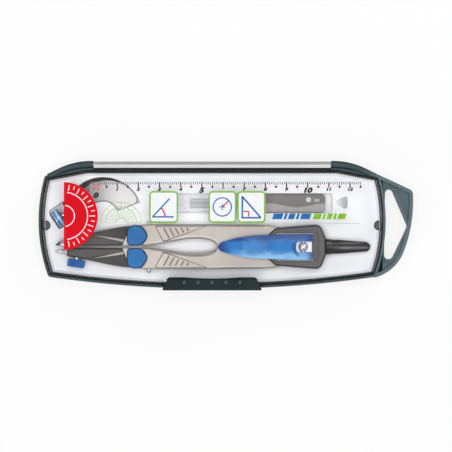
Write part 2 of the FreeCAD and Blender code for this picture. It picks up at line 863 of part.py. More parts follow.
def make_wheel():
    """Knurled clamp wheel on its screw."""
    start = wheel_point(-0.5 * wheel_width)
    wheel = knurled(start, wheel_point(0.5 * wheel_width) - start, wheel_radius, wheel_width)
    return wheel.cut(wheel_rod(-5, 1.2, screw_radius + press_gap))


def make_screw(inner):
    """Clamp screw from a wheel to the lead or needle."""
    return wheel_rod(-inner, 1.2, screw_radius)


def make_shank(bore_y, bore_radius, bore_end, screw_inner):
    """Lower leg: half-thickness knee disc and a tapering arm with the bore for its point."""
    knee_y = axis_y + knee_offset
    low = compass_z - shank_half
    high = compass_z + shank_half
    outer = [(knee_x, -0.15), (-50.0, -0.75), (-60.0, -2.6), (-69.0, -4.6), (shank_end, -5.6)]
    plan = joined_outline(outer, [outer[-1], (shank_end, -9.8)], [(shank_end, -9.8), (knee_x, -9.5)],
                          [(knee_x, -9.5), outer[0]])
    arm = soften(prism(plan, low, high), high, 1.0)
    facet = Part.makeBox(60.0, 15.0, 10.0)
    facet.rotate(vec(0, 0), vec(1, 0), -facet_slope)
    facet.rotate(vec(0, 0), vec(0, 0, 1), facet_run)
    facet.translate(vec(facet_start, facet_y, high))
    arm = arm.cut(facet)
    arm = arm.cut(post(knee_x, knee_y, knee_radius + knee_gap, 0.0, compass_z + 0.5 * lap_gap))
    disc = post(knee_x, knee_y, knee_radius, compass_z + 0.5 * lap_gap, compass_z + leg_half - 0.2)
    shank = arm.fuse(disc)
    shank = shank.cut(post(knee_x, knee_y, knee_pin_radius + running_gap, 0.0, 40.0))
    shank = shank.cut(rod_x(bore_end, -60.0, bore_y, compass_z, bore_radius + press_gap))
    bore = wheel_rod(-screw_inner - 0.5, 3.0, screw_radius + running_gap)
    return shank.cut(bore)


def make_lead():
    """Round lead with a wedge-ground tip."""
    lead = rod_x(lead_tip, lead_start, lead_y, compass_z, lead_radius)
    near = (collet_tip - 0.1, lead_y + lead_radius + 0.1)
    far = (lead_tip - 0.1, lead_y - 0.75)
    beyond = (lead_tip - 3.0, lead_y + 9.0)
    wedge = joined_outline([far, near], [near, beyond], [beyond, far])
    return lead.cut(prism(wedge, 5.0, 20.0))


def make_collet():
    """Tapering nose around the lead at the end of its shank."""
    bore = lead_radius + press_gap
    edges = [
        Part.makeLine(vec(shank_end, bore), vec(shank_end, collet_radius)),
        Part.Arc(vec(shank_end, collet_radius), vec(-77.5, 1.8), vec(collet_tip, 1.15)).toShape(),
        Part.makeLine(vec(collet_tip, 1.15), vec(collet_tip, bore)),
        Part.makeLine(vec(collet_tip, bore), vec(shank_end, bore)),
    ]
    nose = Part.Face(Part.Wire(edges)).revolve(vec(0, 0, 0), vec(1, 0, 0), 360)
    nose.translate(vec(0, lead_y, compass_z))
    return nose


def make_needle():
    """Steel needle with a conical point."""
    needle = rod_x(-80.0, needle_start, needle_y, compass_z, needle_radius)
    point = Part.makeCone(needle_radius, 0.05, 1.6, vec(-80.0, needle_y, compass_z), vec(-1, 0, 0))
    return needle.fuse(point)


def make_needle_sleeve():
    """Collar around the needle at the end of its shank."""
    base = vec(shank_end, needle_y, compass_z)
    nose = Part.makeCone(sleeve_radius, sleeve_nose, sleeve_length, base, vec(-1, 0, 0))
    return nose.cut(rod_x(shank_end - 9.0, shank_end + 1.0, needle_y, compass_z, needle_radius + press_gap))


def adapter_rod(start, stop, radius):
    """Round bar on the axis of the adapter screw."""
    first = vec(*knob_point(start, 0.0), knob_z)
    last = vec(*knob_point(stop, 0.0), knob_z)
    return Part.makeCylinder(radius, stop - start, first, last - first)


def free_end_edges(arm):
    """Upright edges at the free end of the adapter arm."""
    found = []
    for edge in arm.Edges:
        spot = edge.Vertexes[0].Point
        angle = math.degrees(math.atan2(spot.y - adapter_y, spot.x - adapter_x))
        if edge.BoundBox.ZLength > 1.0 and abs(angle - crescent_first) < 0.1:
            found.append(edge)
    return found


def make_adapter_body():
    """Curved arm of the pen adapter with a boss for the screw."""
    arm = crescent(0.0, adapter_low, adapter_high)
    arm = soften(arm.makeFillet(free_end_round, free_end_edges(arm)), adapter_high, 0.6)
    arm = arm.cut(knob_block(-20.0, boss_start, -30.0, 30.0, 0.0, 20.0, 0.0))
    arm = arm.fuse(knob_block(boss_start, boss_stop, -3.0, 3.0, adapter_low, boss_high, 0.6))
    return arm.cut(adapter_rod(0.0, boss_stop - 1.0, adapter_screw_radius + running_gap))


def make_adapter_jaw():
    """Clamping block of the pen adapter."""
    jaw = soften(knob_block(jaw_start, jaw_stop, -3.0, 5.0, adapter_low, boss_high, 0.8), boss_high, 0.5)
    return jaw.cut(adapter_rod(0.0, 30.0, adapter_screw_radius + running_gap))


def make_adapter_screw():
    """Screw of the pen adapter."""
    return adapter_rod(-1.2, boss_stop - 1.3, adapter_screw_radius)


def make_adapter_knob():
    """Knurled knob of the pen adapter."""
    start = vec(*knob_point(-0.5 * knob_width, 0.0), knob_z)
    stop = vec(*knob_point(0.5 * knob_width, 0.0), knob_z)
    knob = knurled(start, stop - start, knob_radius, knob_width)
    return knob.cut(adapter_rod(-1.2, 10.0, adapter_screw_radius + press_gap))


def make_tube():
    """Clear tube of the spare lead case with a neck for the cap."""
    body = prism(tube_outline(tube_left, tube_right, 0.0), tube_floor, tube_roof)
    body = soften(body, tube_roof, 0.6)
    neck = box(tube_right - 2, tube_right + neck_length, tube_low_y + 1.0, tube_high_y - 1.0,
               tube_floor + 1.0, tube_roof - 1.0)
    hollow = box(tube_left + 1.2, 40.0, tube_low_y + 1.7, tube_high_y - 1.7, tube_floor + 1.4, tube_roof - 1.4)
    return body.fuse(neck).cut(hollow)


def make_tube_cap():
    """Sliding cap of the spare lead case with a window and a rivet seat."""
    start = tube_right + rest_gap
    cap = prism(tube_outline(start, tube_end, 0.0), tube_floor, tube_roof)
    cap = soften(cap, tube_roof, 0.6)
    wall = 1.0 - rest_gap
    socket = box(start - 1, start + neck_length + 0.5, tube_low_y + wall, tube_high_y - wall,
                 tube_floor + wall, tube_roof - wall)
    window = box(window_left, window_right, window_low, window_high, tube_floor - 1, tube_roof + 1)
    seat = post(rivet_x, rivet_y, rivet_radius - 0.4 + press_gap, tube_roof - 2.0, tube_roof + 1)
    return cap.cut(socket).cut(window).cut(seat)


def make_rivet():
    """Small domed metal rivet in the cap."""
    shaft = post(rivet_x, rivet_y, rivet_radius - 0.4, tube_roof - 2.0, tube_roof)
    head = post(rivet_x, rivet_y, rivet_radius, tube_roof, tube_roof + 0.5)
    head = head.makeFillet(0.35, level_edges(head, tube_roof + 0.5))
    return shaft.fuse(head)


def make_spare_leads():
    """Spare leads lying side by side in the tube."""
    z = tube_floor + 1.4 + spare_radius
    leads = []
    for y in (tube_middle_y - 1.2, tube_middle_y + 1.2):
        leads.append(rod_x(-17.0, 6.7, y, z, spare_radius))
    return Part.makeCompound(leads)


parts = {
    "base_shell": make_base_shell(),
    "tray_insert": make_tray(),
    "tray_studs": make_studs(),
    "lid": make_lid(),
    "hinge_rod": make_hinge_rod(),
    "ruler_film": make_film(),
    "lid_label": make_label(),
    "front_latch": make_latch(),
    "latch_pin": make_latch_pin(),
    "head_yoke": make_head(),
    "handle_stem": make_stem(),
    "clamp_stud": make_stud(),
    "lock_lever": make_lever(),
    "lever_pin": make_lever_pin(),
    "lead_leg": make_leg(True),
    "needle_leg": mirrored(make_leg(False)),
    "lead_leg_grip": make_grip(),
    "needle_leg_grip": mirrored(make_grip()),
    "lead_knee_pin": make_knee_pin(),
    "needle_knee_pin": mirrored(make_knee_pin()),
    "lead_knee_cap": make_knee_cap(),
    "needle_knee_cap": mirrored(make_knee_cap()),
    "lead_knee_stop": make_stop(),
    "needle_knee_stop": mirrored(make_stop()),
    "lead_shank": make_shank(lead_y, lead_radius, -90.0, lead_screw_inner),
    "needle_shank": mirrored(make_shank(mirror_needle_y, needle_radius, -90.0, needle_screw_inner)),
    "lead_stick": make_lead(),
    "lead_collet": make_collet(),
    "needle_point": make_needle(),
    "needle_sleeve": make_needle_sleeve(),
    "lead_wheel": make_wheel(),
    "needle_wheel": mirrored(make_wheel()),
    "lead_clamp_screw": make_screw(lead_screw_inner),
    "needle_clamp_screw": mirrored(make_screw(needle_screw_inner)),
    "adapter_body": make_adapter_body(),
    "adapter_jaw": make_adapter_jaw(),
    "adapter_screw": make_adapter_screw(),
    "adapter_knob": make_adapter_knob(),
    "lead_tube": make_tube(),
    "tube_cap": make_tube_cap(),
    "spare_leads": make_spare_leads(),
    "cap_rivet": make_rivet(),
}

os.makedirs("parts", exist_ok=True)
for name, shape in parts.items():
    shape.exportStep("parts/" + name + ".step")
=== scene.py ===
import json
import math

import bpy
import numpy as np
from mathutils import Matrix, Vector


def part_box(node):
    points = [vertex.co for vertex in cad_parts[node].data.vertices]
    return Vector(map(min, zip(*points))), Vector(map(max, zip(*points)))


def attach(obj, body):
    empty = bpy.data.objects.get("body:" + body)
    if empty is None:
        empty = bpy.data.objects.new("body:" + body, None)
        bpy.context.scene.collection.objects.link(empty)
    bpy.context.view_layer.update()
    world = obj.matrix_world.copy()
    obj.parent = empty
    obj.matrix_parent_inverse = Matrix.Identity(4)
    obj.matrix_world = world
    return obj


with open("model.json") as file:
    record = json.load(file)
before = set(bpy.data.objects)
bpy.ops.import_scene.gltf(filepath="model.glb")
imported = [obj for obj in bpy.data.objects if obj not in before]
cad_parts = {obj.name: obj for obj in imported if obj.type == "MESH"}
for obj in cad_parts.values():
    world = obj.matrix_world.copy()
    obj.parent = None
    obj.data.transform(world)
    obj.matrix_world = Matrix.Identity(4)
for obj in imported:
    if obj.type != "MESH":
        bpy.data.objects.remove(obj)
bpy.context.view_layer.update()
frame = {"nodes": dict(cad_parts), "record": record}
nodes = frame["nodes"]

MM = 0.001
X, Y, Z = range(3)


def least(name, axis):
    """Least coordinate of a node's box at rest, in millimetres."""
    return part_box(name)[0][axis] / MM


def most(name, axis):
    """Greatest coordinate of a node's box at rest, in millimetres."""
    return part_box(name)[1][axis] / MM


def centre_of(name, axis):
    """Middle of a node's box at rest, in millimetres."""
    return 0.5 * (least(name, axis) + most(name, axis))


# Places on the case and the tray, in millimetres
HINGE_BARREL_Y = centre_of("hinge_rod", Y) - 1.43
LEDGE_HEIGHT = least("lid", Z) + 0.6
RING_END_X = most("lid", X) + 0.05
DOME_TOP = most("front_latch", Z)
NOTCH_X = (51.5, 58.6)
NOTCH_Y = (7.0, 14.8)
NOTCH_BELOW = most("tray_insert", Z) - 2.0

# Places on the instruments, in millimetres
COMPASS_Y = centre_of("head_yoke", Y)
BALL_X = centre_of("lever_pin", X) - 0.1
BALL_RING = 4.5
SEAT_TOP = most("head_yoke", Z) + 0.3
KNEE_END_X = centre_of("lead_knee_pin", X) - 7.3
RIB_FOOT = most("lead_leg_grip", Z) - 0.25
ADAPTER_MIDDLE = (-58.7, 4.3)
KNOB_MIDDLE = (centre_of("adapter_knob", X), centre_of("adapter_knob", Y))
KNOB_TURN = math.radians(33.8)
CAP_WINDOW = (most("tube_cap", X) - 3.8, centre_of("tube_cap", Y) + 1.4)
CAP_WINDOW_HALF = (1.8, 0.9)

# Places of the print, in millimetres
FILM_END = most("ruler_film", X) - 0.5
SCALE_TOP = most("ruler_film", Y) - 0.1
SCALE_STEPS = 125
ZERO_X = least("ruler_film", X) + 3.2
DOT_ROW = 18.2
FRAMES = ((-36.2, -22.5), (-8.2, 5.0), (5.4, 18.8))
FRAME_LOW = 1.2
FRAME_HIGH = 16.2
FRAME_WIDTH = 0.75
ANGLE_TIP = (-34.6, 4.0)
CIRCLE_MIDDLE = (-1.65, 8.7)
LABEL_MIDDLE = (least("lid_label", X), centre_of("lid_label", Y))

# Heights of the print on the film, in metres: its foot, its top and the top of a thin coat
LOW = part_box("ruler_film")[1].z
HIGH = LOW + 0.03 * MM
THIN = LOW + 0.015 * MM


# Shader building blocks

def srgb(code):
    """Linear colour of a six-digit web colour."""
    values = np.array([int(code[i:i + 2], 16) for i in (0, 2, 4)], float) / 255.0
    linear = np.where(values <= 0.04045, values / 12.92, ((values + 0.055) / 1.055) ** 2.4)
    return (*linear.tolist(), 1.0)


def add_node(tree, kind, **values):
    """New node with its sockets or properties set by name."""
    node = tree.nodes.new(kind)
    for key, value in values.items():
        if key in node.inputs:
            node.inputs[key].default_value = value
        else:
            setattr(node, key, value)
    return node


def math_node(tree, operation, first, second=0.0):
    """Math node on two links or numbers."""
    node = add_node(tree, "ShaderNodeMath", operation=operation)
    for i, value in enumerate((first, second)):
        if isinstance(value, (int, float)):
            node.inputs[i].default_value = value
        else:
            tree.links.new(value, node.inputs[i])
    return node.outputs[0]


def ramp_value(tree, value, low, high, to_low, to_high):
    """Smooth step of a value from one range to another."""
    node = add_node(tree, "ShaderNodeMapRange", interpolation_type="SMOOTHSTEP")
    tree.links.new(value, node.inputs["Value"])
    for name, number in (("From Min", low), ("From Max", high), ("To Min", to_low), ("To Max", to_high)):
        node.inputs[name].default_value = number
    return node.outputs["Result"]


def mix_colour(tree, factor, first, second):
    """Blend of two colours, each a link or a plain colour."""
    node = add_node(tree, "ShaderNodeMix", data_type="RGBA")
    tree.links.new(factor, node.inputs[0])
    for slot, value in ((6, first), (7, second)):
        if isinstance(value, tuple):
            node.inputs[slot].default_value = value
        else:
            tree.links.new(value, node.inputs[slot])
    return node.outputs[2]


def new_group(name, inputs, outputs):
    """Empty shader group with named sockets; returns the tree and its two end nodes."""
    tree = bpy.data.node_groups.new(name, "ShaderNodeTree")
    for label, kind, value in inputs:
        socket = tree.interface.new_socket(label, in_out="INPUT", socket_type=kind)
        socket.default_value = value
    for label, kind in outputs:
        tree.interface.new_socket(label, in_out="OUTPUT", socket_type=kind)
    return tree, tree.nodes.new("NodeGroupInput"), tree.nodes.new("NodeGroupOutput")


def moulded_grain_group():
    """Moulded plastic: slow colour clouds, fine spark-eroded grain and a matching roughness."""
    tree, start, end = new_group(
        "moulded_grain",
        [("Base", "NodeSocketColor", (0.5, 0.5, 0.5, 1)), ("Shade", "NodeSocketColor", (0.4, 0.4, 0.4, 1)),
         ("Cloud Scale", "NodeSocketFloat", 60.0), ("Grain Scale", "NodeSocketFloat", 2500.0),
         ("Rough Low", "NodeSocketFloat", 0.35), ("Rough High", "NodeSocketFloat", 0.5)],
        [("Colour", "NodeSocketColor"), ("Roughness", "NodeSocketFloat"), ("Height", "NodeSocketFloat")])
    place = tree.nodes.new("ShaderNodeTexCoord")
    cloud = add_node(tree, "ShaderNodeTexNoise", Detail=4.0, Roughness=0.6)
    grain = add_node(tree, "ShaderNodeTexNoise", Detail=2.0, Roughness=0.5)
    tree.links.new(place.outputs["Object"], cloud.inputs["Vector"])
    tree.links.new(place.outputs["Object"], grain.inputs["Vector"])
    tree.links.new(start.outputs["Cloud Scale"], cloud.inputs["Scale"])
    tree.links.new(start.outputs["Grain Scale"], grain.inputs["Scale"])
    shade = ramp_value(tree, cloud.outputs["Fac"], 0.35, 0.7, 0.0, 1.0)
    colour = mix_colour(tree, shade, start.outputs["Base"], start.outputs["Shade"])
    speck = ramp_value(tree, grain.outputs["Fac"], 0.3, 0.7, 0.0, 1.0)
    rough = add_node(tree, "ShaderNodeMix", data_type="FLOAT")
    tree.links.new(speck, rough.inputs[0])
    tree.links.new(start.outputs["Rough Low"], rough.inputs[2])
    tree.links.new(start.outputs["Rough High"], rough.inputs[3])
    tree.links.new(colour, end.inputs["Colour"])
    tree.links.new(rough.outputs[0], end.inputs["Roughness"])
    tree.links.new(speck, end.inputs["Height"])
    return tree


def rounded_edge_group():
    """Mask that is 1 on rounded upper edges and 0 on faces that lie flat, stand upright or look down."""
    tree, start, end = new_group(
        "rounded_edge",
        [("Flat From", "NodeSocketFloat", 0.97), ("Edge Below", "NodeSocketFloat", 0.6)],
        [("Mask", "NodeSocketFloat")])
    place = tree.nodes.new("ShaderNodeTexCoord")
    split = tree.nodes.new("ShaderNodeSeparateXYZ")
    tree.links.new(place.outputs["Normal"], split.inputs[0])
    fall = add_node(tree, "ShaderNodeMapRange", interpolation_type="SMOOTHSTEP")
    tree.links.new(split.outputs[Z], fall.inputs["Value"])
    tree.links.new(start.outputs["Edge Below"], fall.inputs["From Min"])
    tree.links.new(start.outputs["Flat From"], fall.inputs["From Max"])
    fall.inputs["To Min"].default_value = 1.0
    fall.inputs["To Max"].default_value = 0.0
    leaning = ramp_value(tree, split.outputs[Z], 0.02, 0.2, 0.0, 1.0)
    tree.links.new(math_node(tree, "MULTIPLY", fall.outputs["Result"], leaning), end.inputs["Mask"])
    return tree


GRAIN = moulded_grain_group()
EDGE = rounded_edge_group()
FINE_BUMP = 0.05 * MM


def new_material(name):
    """Empty node material with a Principled shader; returns material, tree, shader."""
    material = bpy.data.materials.new(name)
    material.use_nodes = True
    tree = material.node_tree
    return material, tree, tree.nodes["Principled BSDF"]


def grain_node(tree, base, shade, cloud, grain, rough):
    """Grain group placed in a material with its own values."""
    node = tree.nodes.new("ShaderNodeGroup")
    node.node_tree = GRAIN
    for label, value in (("Base", base), ("Shade", shade), ("Cloud Scale", cloud), ("Grain Scale", grain),
                         ("Rough Low", rough[0]), ("Rough High", rough[1])):
        node.inputs[label].default_value = value
    return node


def add_bump(tree, shader, height, strength, distance):
    """Bump from a height link."""
    bump = add_node(tree, "ShaderNodeBump", Strength=strength, Distance=distance)
    tree.links.new(height, bump.inputs["Height"])
    tree.links.new(bump.outputs["Normal"], shader.inputs["Normal"])


def dress(tree, shader, colour, grain, specular=None, bump=None):
    """Colour and grain wired to a shader, with its gloss and its bump strength and distance where given."""
    tree.links.new(colour, shader.inputs["Base Color"])
    tree.links.new(grain.outputs["Roughness"], shader.inputs["Roughness"])
    if specular is not None:
        shader.inputs["Specular IOR Level"].default_value = specular
    if bump is not None:
        add_bump(tree, shader, grain.outputs["Height"], *bump)


def edge_mask(tree, flat=0.995, edge=0.88):
    """Edge group placed in a material."""
    node = tree.nodes.new("ShaderNodeGroup")
    node.node_tree = EDGE
    node.inputs["Flat From"].default_value = flat
    node.inputs["Edge Below"].default_value = edge
    return node.outputs["Mask"]


def plastic(name, base, shade, rough=(0.35, 0.5), cloud=60.0, grain=2500.0, bump=0.15, edge=None,
            specular=0.12):
    """Moulded plastic material from two web colours, with painted shade in a third colour on its rounded
    edges.
    """
    material, tree, shader = new_material(name)
    node = grain_node(tree, srgb(base), srgb(shade), cloud, grain, rough)
    colour = node.outputs["Colour"]
    if edge:
        # Painted shade: rounded edges take the edge colour, chosen by how far they tilt.
        colour = mix_colour(tree, edge_mask(tree), colour, srgb(edge))
    dress(tree, shader, colour, node, specular, (bump, FINE_BUMP))
    return material


def object_axis(tree, axis):
    """One Object coordinate as a link."""
    place = tree.nodes.new("ShaderNodeTexCoord")
    split = tree.nodes.new("ShaderNodeSeparateXYZ")
    tree.links.new(place.outputs["Object"], split.inputs[0])
    return split.outputs[axis]


def from_point(tree, x, y):
    """Distance in plan from a point: the root of the two squared offsets."""
    dx = math_node(tree, "ADD", object_axis(tree, X), -x * MM)
    dy = math_node(tree, "ADD", object_axis(tree, Y), -y * MM)
    squares = [math_node(tree, "MULTIPLY", d, d) for d in (dx, dy)]
    return math_node(tree, "SQRT", math_node(tree, "ADD", *squares))


def off_middle(tree, value, middle):
    """How far a value lies from a middle, either way."""
    return math_node(tree, "ABSOLUTE", math_node(tree, "ADD", value, -middle * MM))


def stripe(tree, value, middle, core, fade, amount):
    """Mask of a stripe about a middle: full over its core and gone at its fade."""
    return ramp_value(tree, off_middle(tree, value, middle), core * MM, fade * MM, amount, 0.0)


def stretched_noise(tree, scale, **values):
    """Noise drawn out by a scale of its own along each axis."""
    place = tree.nodes.new("ShaderNodeTexCoord")
    stretch = add_node(tree, "ShaderNodeMapping", Scale=scale)
    noise = add_node(tree, "ShaderNodeTexNoise", Scale=1.0, **values)
    tree.links.new(place.outputs["Object"], stretch.inputs["Vector"])
    tree.links.new(stretch.outputs["Vector"], noise.inputs["Vector"])
    return noise.outputs["Fac"]


def blend_surface(tree, amount, first, second):
    """Surface of a material made of two shaders, the second by an amount."""
    mix = tree.nodes.new("ShaderNodeMixShader")
    tree.links.new(amount, mix.inputs[0])
    tree.links.new(first.outputs[0], mix.inputs[1])
    tree.links.new(second.outputs[0], mix.inputs[2])
    tree.links.new(mix.outputs[0], tree.nodes["Material Output"].inputs["Surface"])


def pass_light(tree, shader, amount=None):
    """Lets lamps shine through a clear piece: clear for shadow rays, and only there."""
    path = tree.nodes.new("ShaderNodeLightPath")
    open_way = path.outputs["Is Shadow Ray"]
    if amount is not None:
        open_way = math_node(tree, "MULTIPLY", open_way, amount)
    blend_surface(tree, open_way, shader, tree.nodes.new("ShaderNodeBsdfTransparent"))


def case_material():
    """Slate case plastic: darker away from the handle, with painted shade on its rounded flanks and a painted
    shadow, nearly black, on the sunken ledge below the lid.
    """
    material, tree, shader = new_material("case_slate")
    node = grain_node(tree, srgb("64767b"), srgb("58696e"), 40.0, 1800.0, (0.32, 0.44))
    place = tree.nodes.new("ShaderNodeTexCoord")
    facing = tree.nodes.new("ShaderNodeSeparateXYZ")
    tree.links.new(place.outputs["Normal"], facing.inputs[0])
    # Painted shadow: upward faces on the sunken ledge inside the ring turn nearly black.
    upward = math_node(tree, "GREATER_THAN", facing.outputs[Z], 0.9)
    sunk = math_node(tree, "LESS_THAN", object_axis(tree, Z), LEDGE_HEIGHT * MM)
    inside = math_node(tree, "LESS_THAN", object_axis(tree, X), RING_END_X * MM)
    ledge = math_node(tree, "MULTIPLY", math_node(tree, "MULTIPLY", upward, sunk), inside)
    # Painted shade on the case's rounded edges and flanks.
    flank_shade = math_node(tree, "MULTIPLY", edge_mask(tree, 0.97, 0.55), 0.85)
    ring = ramp_value(tree, object_axis(tree, X), 64.0 * MM, 76.0 * MM, 0.75, 0.0)
    toned = mix_colour(tree, ring, node.outputs["Colour"], srgb("334346"))
    toned = mix_colour(tree, flank_shade, toned, srgb("121a1c"))
    dress(tree, shader, mix_colour(tree, ledge, toned, srgb("05090a")), node, 0.04, (0.2, 0.06 * MM))
    return material


def clear_material(name, tint, rim, rough, thin, edge):
    """Clear moulding that hardly shows face on and turns to its rim colour, a painted shade, towards its
    edges as seen.
    """
    material, tree, shader = new_material(name)
    node = grain_node(tree, srgb(tint), srgb(tint), 30.0, 900.0, rough)
    slope = add_node(tree, "ShaderNodeLayerWeight", Blend=0.35)
    # Painted shade: the rim colour grows where the surface is seen edge on.
    grazing_shade = ramp_value(tree, slope.outputs["Facing"], 0.15, 1.0, 0.0, 1.0)
    dress(tree, shader, mix_colour(tree, grazing_shade, node.outputs["Colour"], srgb(rim)), node, 0.15)
    tree.links.new(ramp_value(tree, slope.outputs["Facing"], 0.15, 1.0, thin, edge), shader.inputs["Alpha"])
    pass_light(tree, shader)
    return material


def lid_material():
    """Clear lid with painted shade, dark, where its walls are seen edge on, and a satin hinge barrel with
    painted shade: grey on its rear half, white on its front.
    """
    material, tree, shader = new_material("lid_clear")
    node = grain_node(tree, srgb("f7fafc"), srgb("f2f6f9"), 30.0, 900.0, (0.05, 0.1))
    across = object_axis(tree, Y)
    barrel = math_node(tree, "GREATER_THAN", across, HINGE_BARREL_Y * MM)
    # Painted shade on the hinge barrel: grey on its rear half, white on its front.
    rear = ramp_value(tree, across, 28.6 * MM, 28.95 * MM, 0.0, 1.0)
    satin = mix_colour(tree, rear, srgb("ececec"), srgb("9b9b9c"))
    # Painted shade, dark, where the lid's walls are seen edge on.
    slope = add_node(tree, "ShaderNodeLayerWeight", Blend=0.3)
    grazing_shade = ramp_value(tree, slope.outputs["Facing"], 0.03, 0.35, 0.0, 1.0)
    sheet = mix_colour(tree, grazing_shade, node.outputs["Colour"], srgb("1c2628"))
    dress(tree, shader, mix_colour(tree, barrel, sheet, satin), node)
    clear = ramp_value(tree, slope.outputs["Facing"], 0.1, 1.0, 0.008, 0.3)
    solid = math_node(tree, "MULTIPLY", barrel, 0.94)
    tree.links.new(math_node(tree, "MAXIMUM", clear, solid), shader.inputs["Alpha"])
    pass_light(tree, shader, math_node(tree, "SUBTRACT", 1.0, barrel))
    return material


def steel_material(name, base, shade, rough):
    """Turned steel: streaks drawn out along one direction."""
    material, tree, shader = new_material(name)
    streak = stretched_noise(tree, (300.0, 4000.0, 4000.0), Detail=3.0)
    tree.links.new(mix_colour(tree, streak, srgb(base), srgb(shade)), shader.inputs["Base Color"])
    tree.links.new(ramp_value(tree, streak, 0.3, 0.7, *rough), shader.inputs["Roughness"])
    shader.inputs["Metallic"].default_value = 1.0
    add_bump(tree, shader, streak, 0.05, 0.03 * MM)
    return material


def film_material():
    """Thin milky film, a little denser towards its left end."""
    material, tree, shader = new_material("ruler_film_milky")
    node = grain_node(tree, srgb("f8f9fc"), srgb("f3f5fa"), 25.0, 400.0, (0.3, 0.4))
    dress(tree, shader, node.outputs["Colour"], node)
    milk = ramp_value(tree, object_axis(tree, X), -50.0 * MM, 20.0 * MM, 0.07, 0.04)
    tree.links.new(milk, shader.inputs["Alpha"])
    pass_light(tree, shader)
    return material


def lever_material():
    """Glossy blue lever: painted shade, deep blue, at the rear, at both ends and in a ring left of the ball,
    and a pale painted highlight along its front.
    """
    material, tree, shader = new_material("lever_gloss_blue")
    node = grain_node(tree, srgb("1d78c0"), srgb("1566ae"), 90.0, 1500.0, (0.16, 0.24))
    flow = stretched_noise(tree, (70.0, 260.0, 70.0), Detail=2.0, Distortion=1.2)
    sway = math_node(tree, "MULTIPLY", math_node(tree, "SUBTRACT", flow, 0.5), 5.5 * MM)
    across = math_node(tree, "ADD", object_axis(tree, Y), sway)
    along = object_axis(tree, X)
    # Painted highlight along the front; painted shade at the rear, at both ends and in a ring left of the
    # ball.
    front = ramp_value(tree, across, -15.6 * MM, -11.5 * MM, 0.85, 0.0)
    rear = ramp_value(tree, across, -9.0 * MM, -5.5 * MM, 0.0, 0.9)
    tip = ramp_value(tree, along, -3.5 * MM, 3.5 * MM, 1.0, 0.0)
    heel = ramp_value(tree, along, 37.0 * MM, 41.0 * MM, 0.0, 0.9)
    deep = math_node(tree, "MAXIMUM", math_node(tree, "MAXIMUM", rear, tip), heel)
    ball_shade = stripe(tree, from_point(tree, BALL_X, COMPASS_Y), BALL_RING, 0.3, 1.0, 0.75)
    left = ramp_value(tree, along, 33.5 * MM, 36.0 * MM, 1.0, 0.0)
    deep = math_node(tree, "MAXIMUM", deep, math_node(tree, "MULTIPLY", ball_shade, left))
    colour = mix_colour(tree, front, node.outputs["Colour"], srgb("8fc3ec"))
    dress(tree, shader, mix_colour(tree, deep, colour, srgb("083b80")), node, 0.1)
    shader.inputs["Coat Weight"].default_value = 0.04
    return material


def shank_material():
    """Dark lower leg with painted shade on its rounded edges, a pale moulded end round the knee and a slanted
    painted highlight streak that widens towards the knee.
    """
    material, tree, shader = new_material("shank_grey")
    node = grain_node(tree, srgb("4b4846"), srgb("403d3b"), 60.0, 2200.0, (0.28, 0.4))
    along = object_axis(tree, X)
    off_axis = off_middle(tree, object_axis(tree, Y), COMPASS_Y)
    edge_x = math_node(tree, "ADD", math_node(tree, "MULTIPLY", off_axis, 0.42), KNEE_END_X * MM)
    beyond = math_node(tree, "SUBTRACT", along, edge_x)
    line = ramp_value(tree, beyond, -0.25 * MM, 0.0, 0.0, 1.0)
    pale = ramp_value(tree, beyond, 0.15 * MM, 0.35 * MM, 0.0, 1.0)
    # Painted shade on the rounded edges.
    colour = mix_colour(tree, edge_mask(tree, 0.955, 0.55), node.outputs["Colour"], srgb("2e2b29"))
    # Painted highlight: a slanted pale streak along the shank.
    slant = math_node(tree, "ADD", math_node(tree, "MULTIPLY", along, -0.182), -5.94 * MM)
    off_slant = math_node(tree, "ABSOLUTE", math_node(tree, "SUBTRACT", off_axis, slant))
    width = ramp_value(tree, along, -63.0 * MM, -50.0 * MM, 0.12 * MM, 0.75 * MM)
    streak = ramp_value(tree, math_node(tree, "DIVIDE", off_slant, width), 0.3, 1.0, 0.8, 0.0)
    reach = ramp_value(tree, along, -64.0 * MM, -60.0 * MM, 0.0, 1.0)
    colour = mix_colour(tree, math_node(tree, "MULTIPLY", streak, reach), colour, srgb("c4c1bf"))
    colour = mix_colour(tree, line, colour, srgb("2c2826"))
    colour = mix_colour(tree, pale, colour, srgb("d9d0c9"))
    dress(tree, shader, colour, node, 0.15, (0.15, FINE_BUMP))
    return material


def adapter_material():
    """Smoky adapter arm: darker at the boss, paler towards its free end, black along the outer rim."""
    material, tree, shader = new_material("adapter_smoke")
    node = grain_node(tree, srgb("837f81"), srgb("747073"), 60.0, 1800.0, (0.25, 0.38))
    along = object_axis(tree, X)
    free_end = ramp_value(tree, along, -68.0 * MM, -49.0 * MM, 0.0, 1.0)
    colour = mix_colour(tree, free_end, node.outputs["Colour"], srgb("e4e1e3"))
    rim_start = ramp_value(tree, along, -70.0 * MM, -44.0 * MM, 16.2 * MM, 18.3 * MM)
    past = math_node(tree, "SUBTRACT", from_point(tree, *ADAPTER_MIDDLE), rim_start)
    rim = ramp_value(tree, past, -0.15 * MM, 0.15 * MM, 0.0, 1.0)
    dress(tree, shader, mix_colour(tree, rim, colour, srgb("1b1a1c")), node, 0.12, (0.1, FINE_BUMP))
    return material


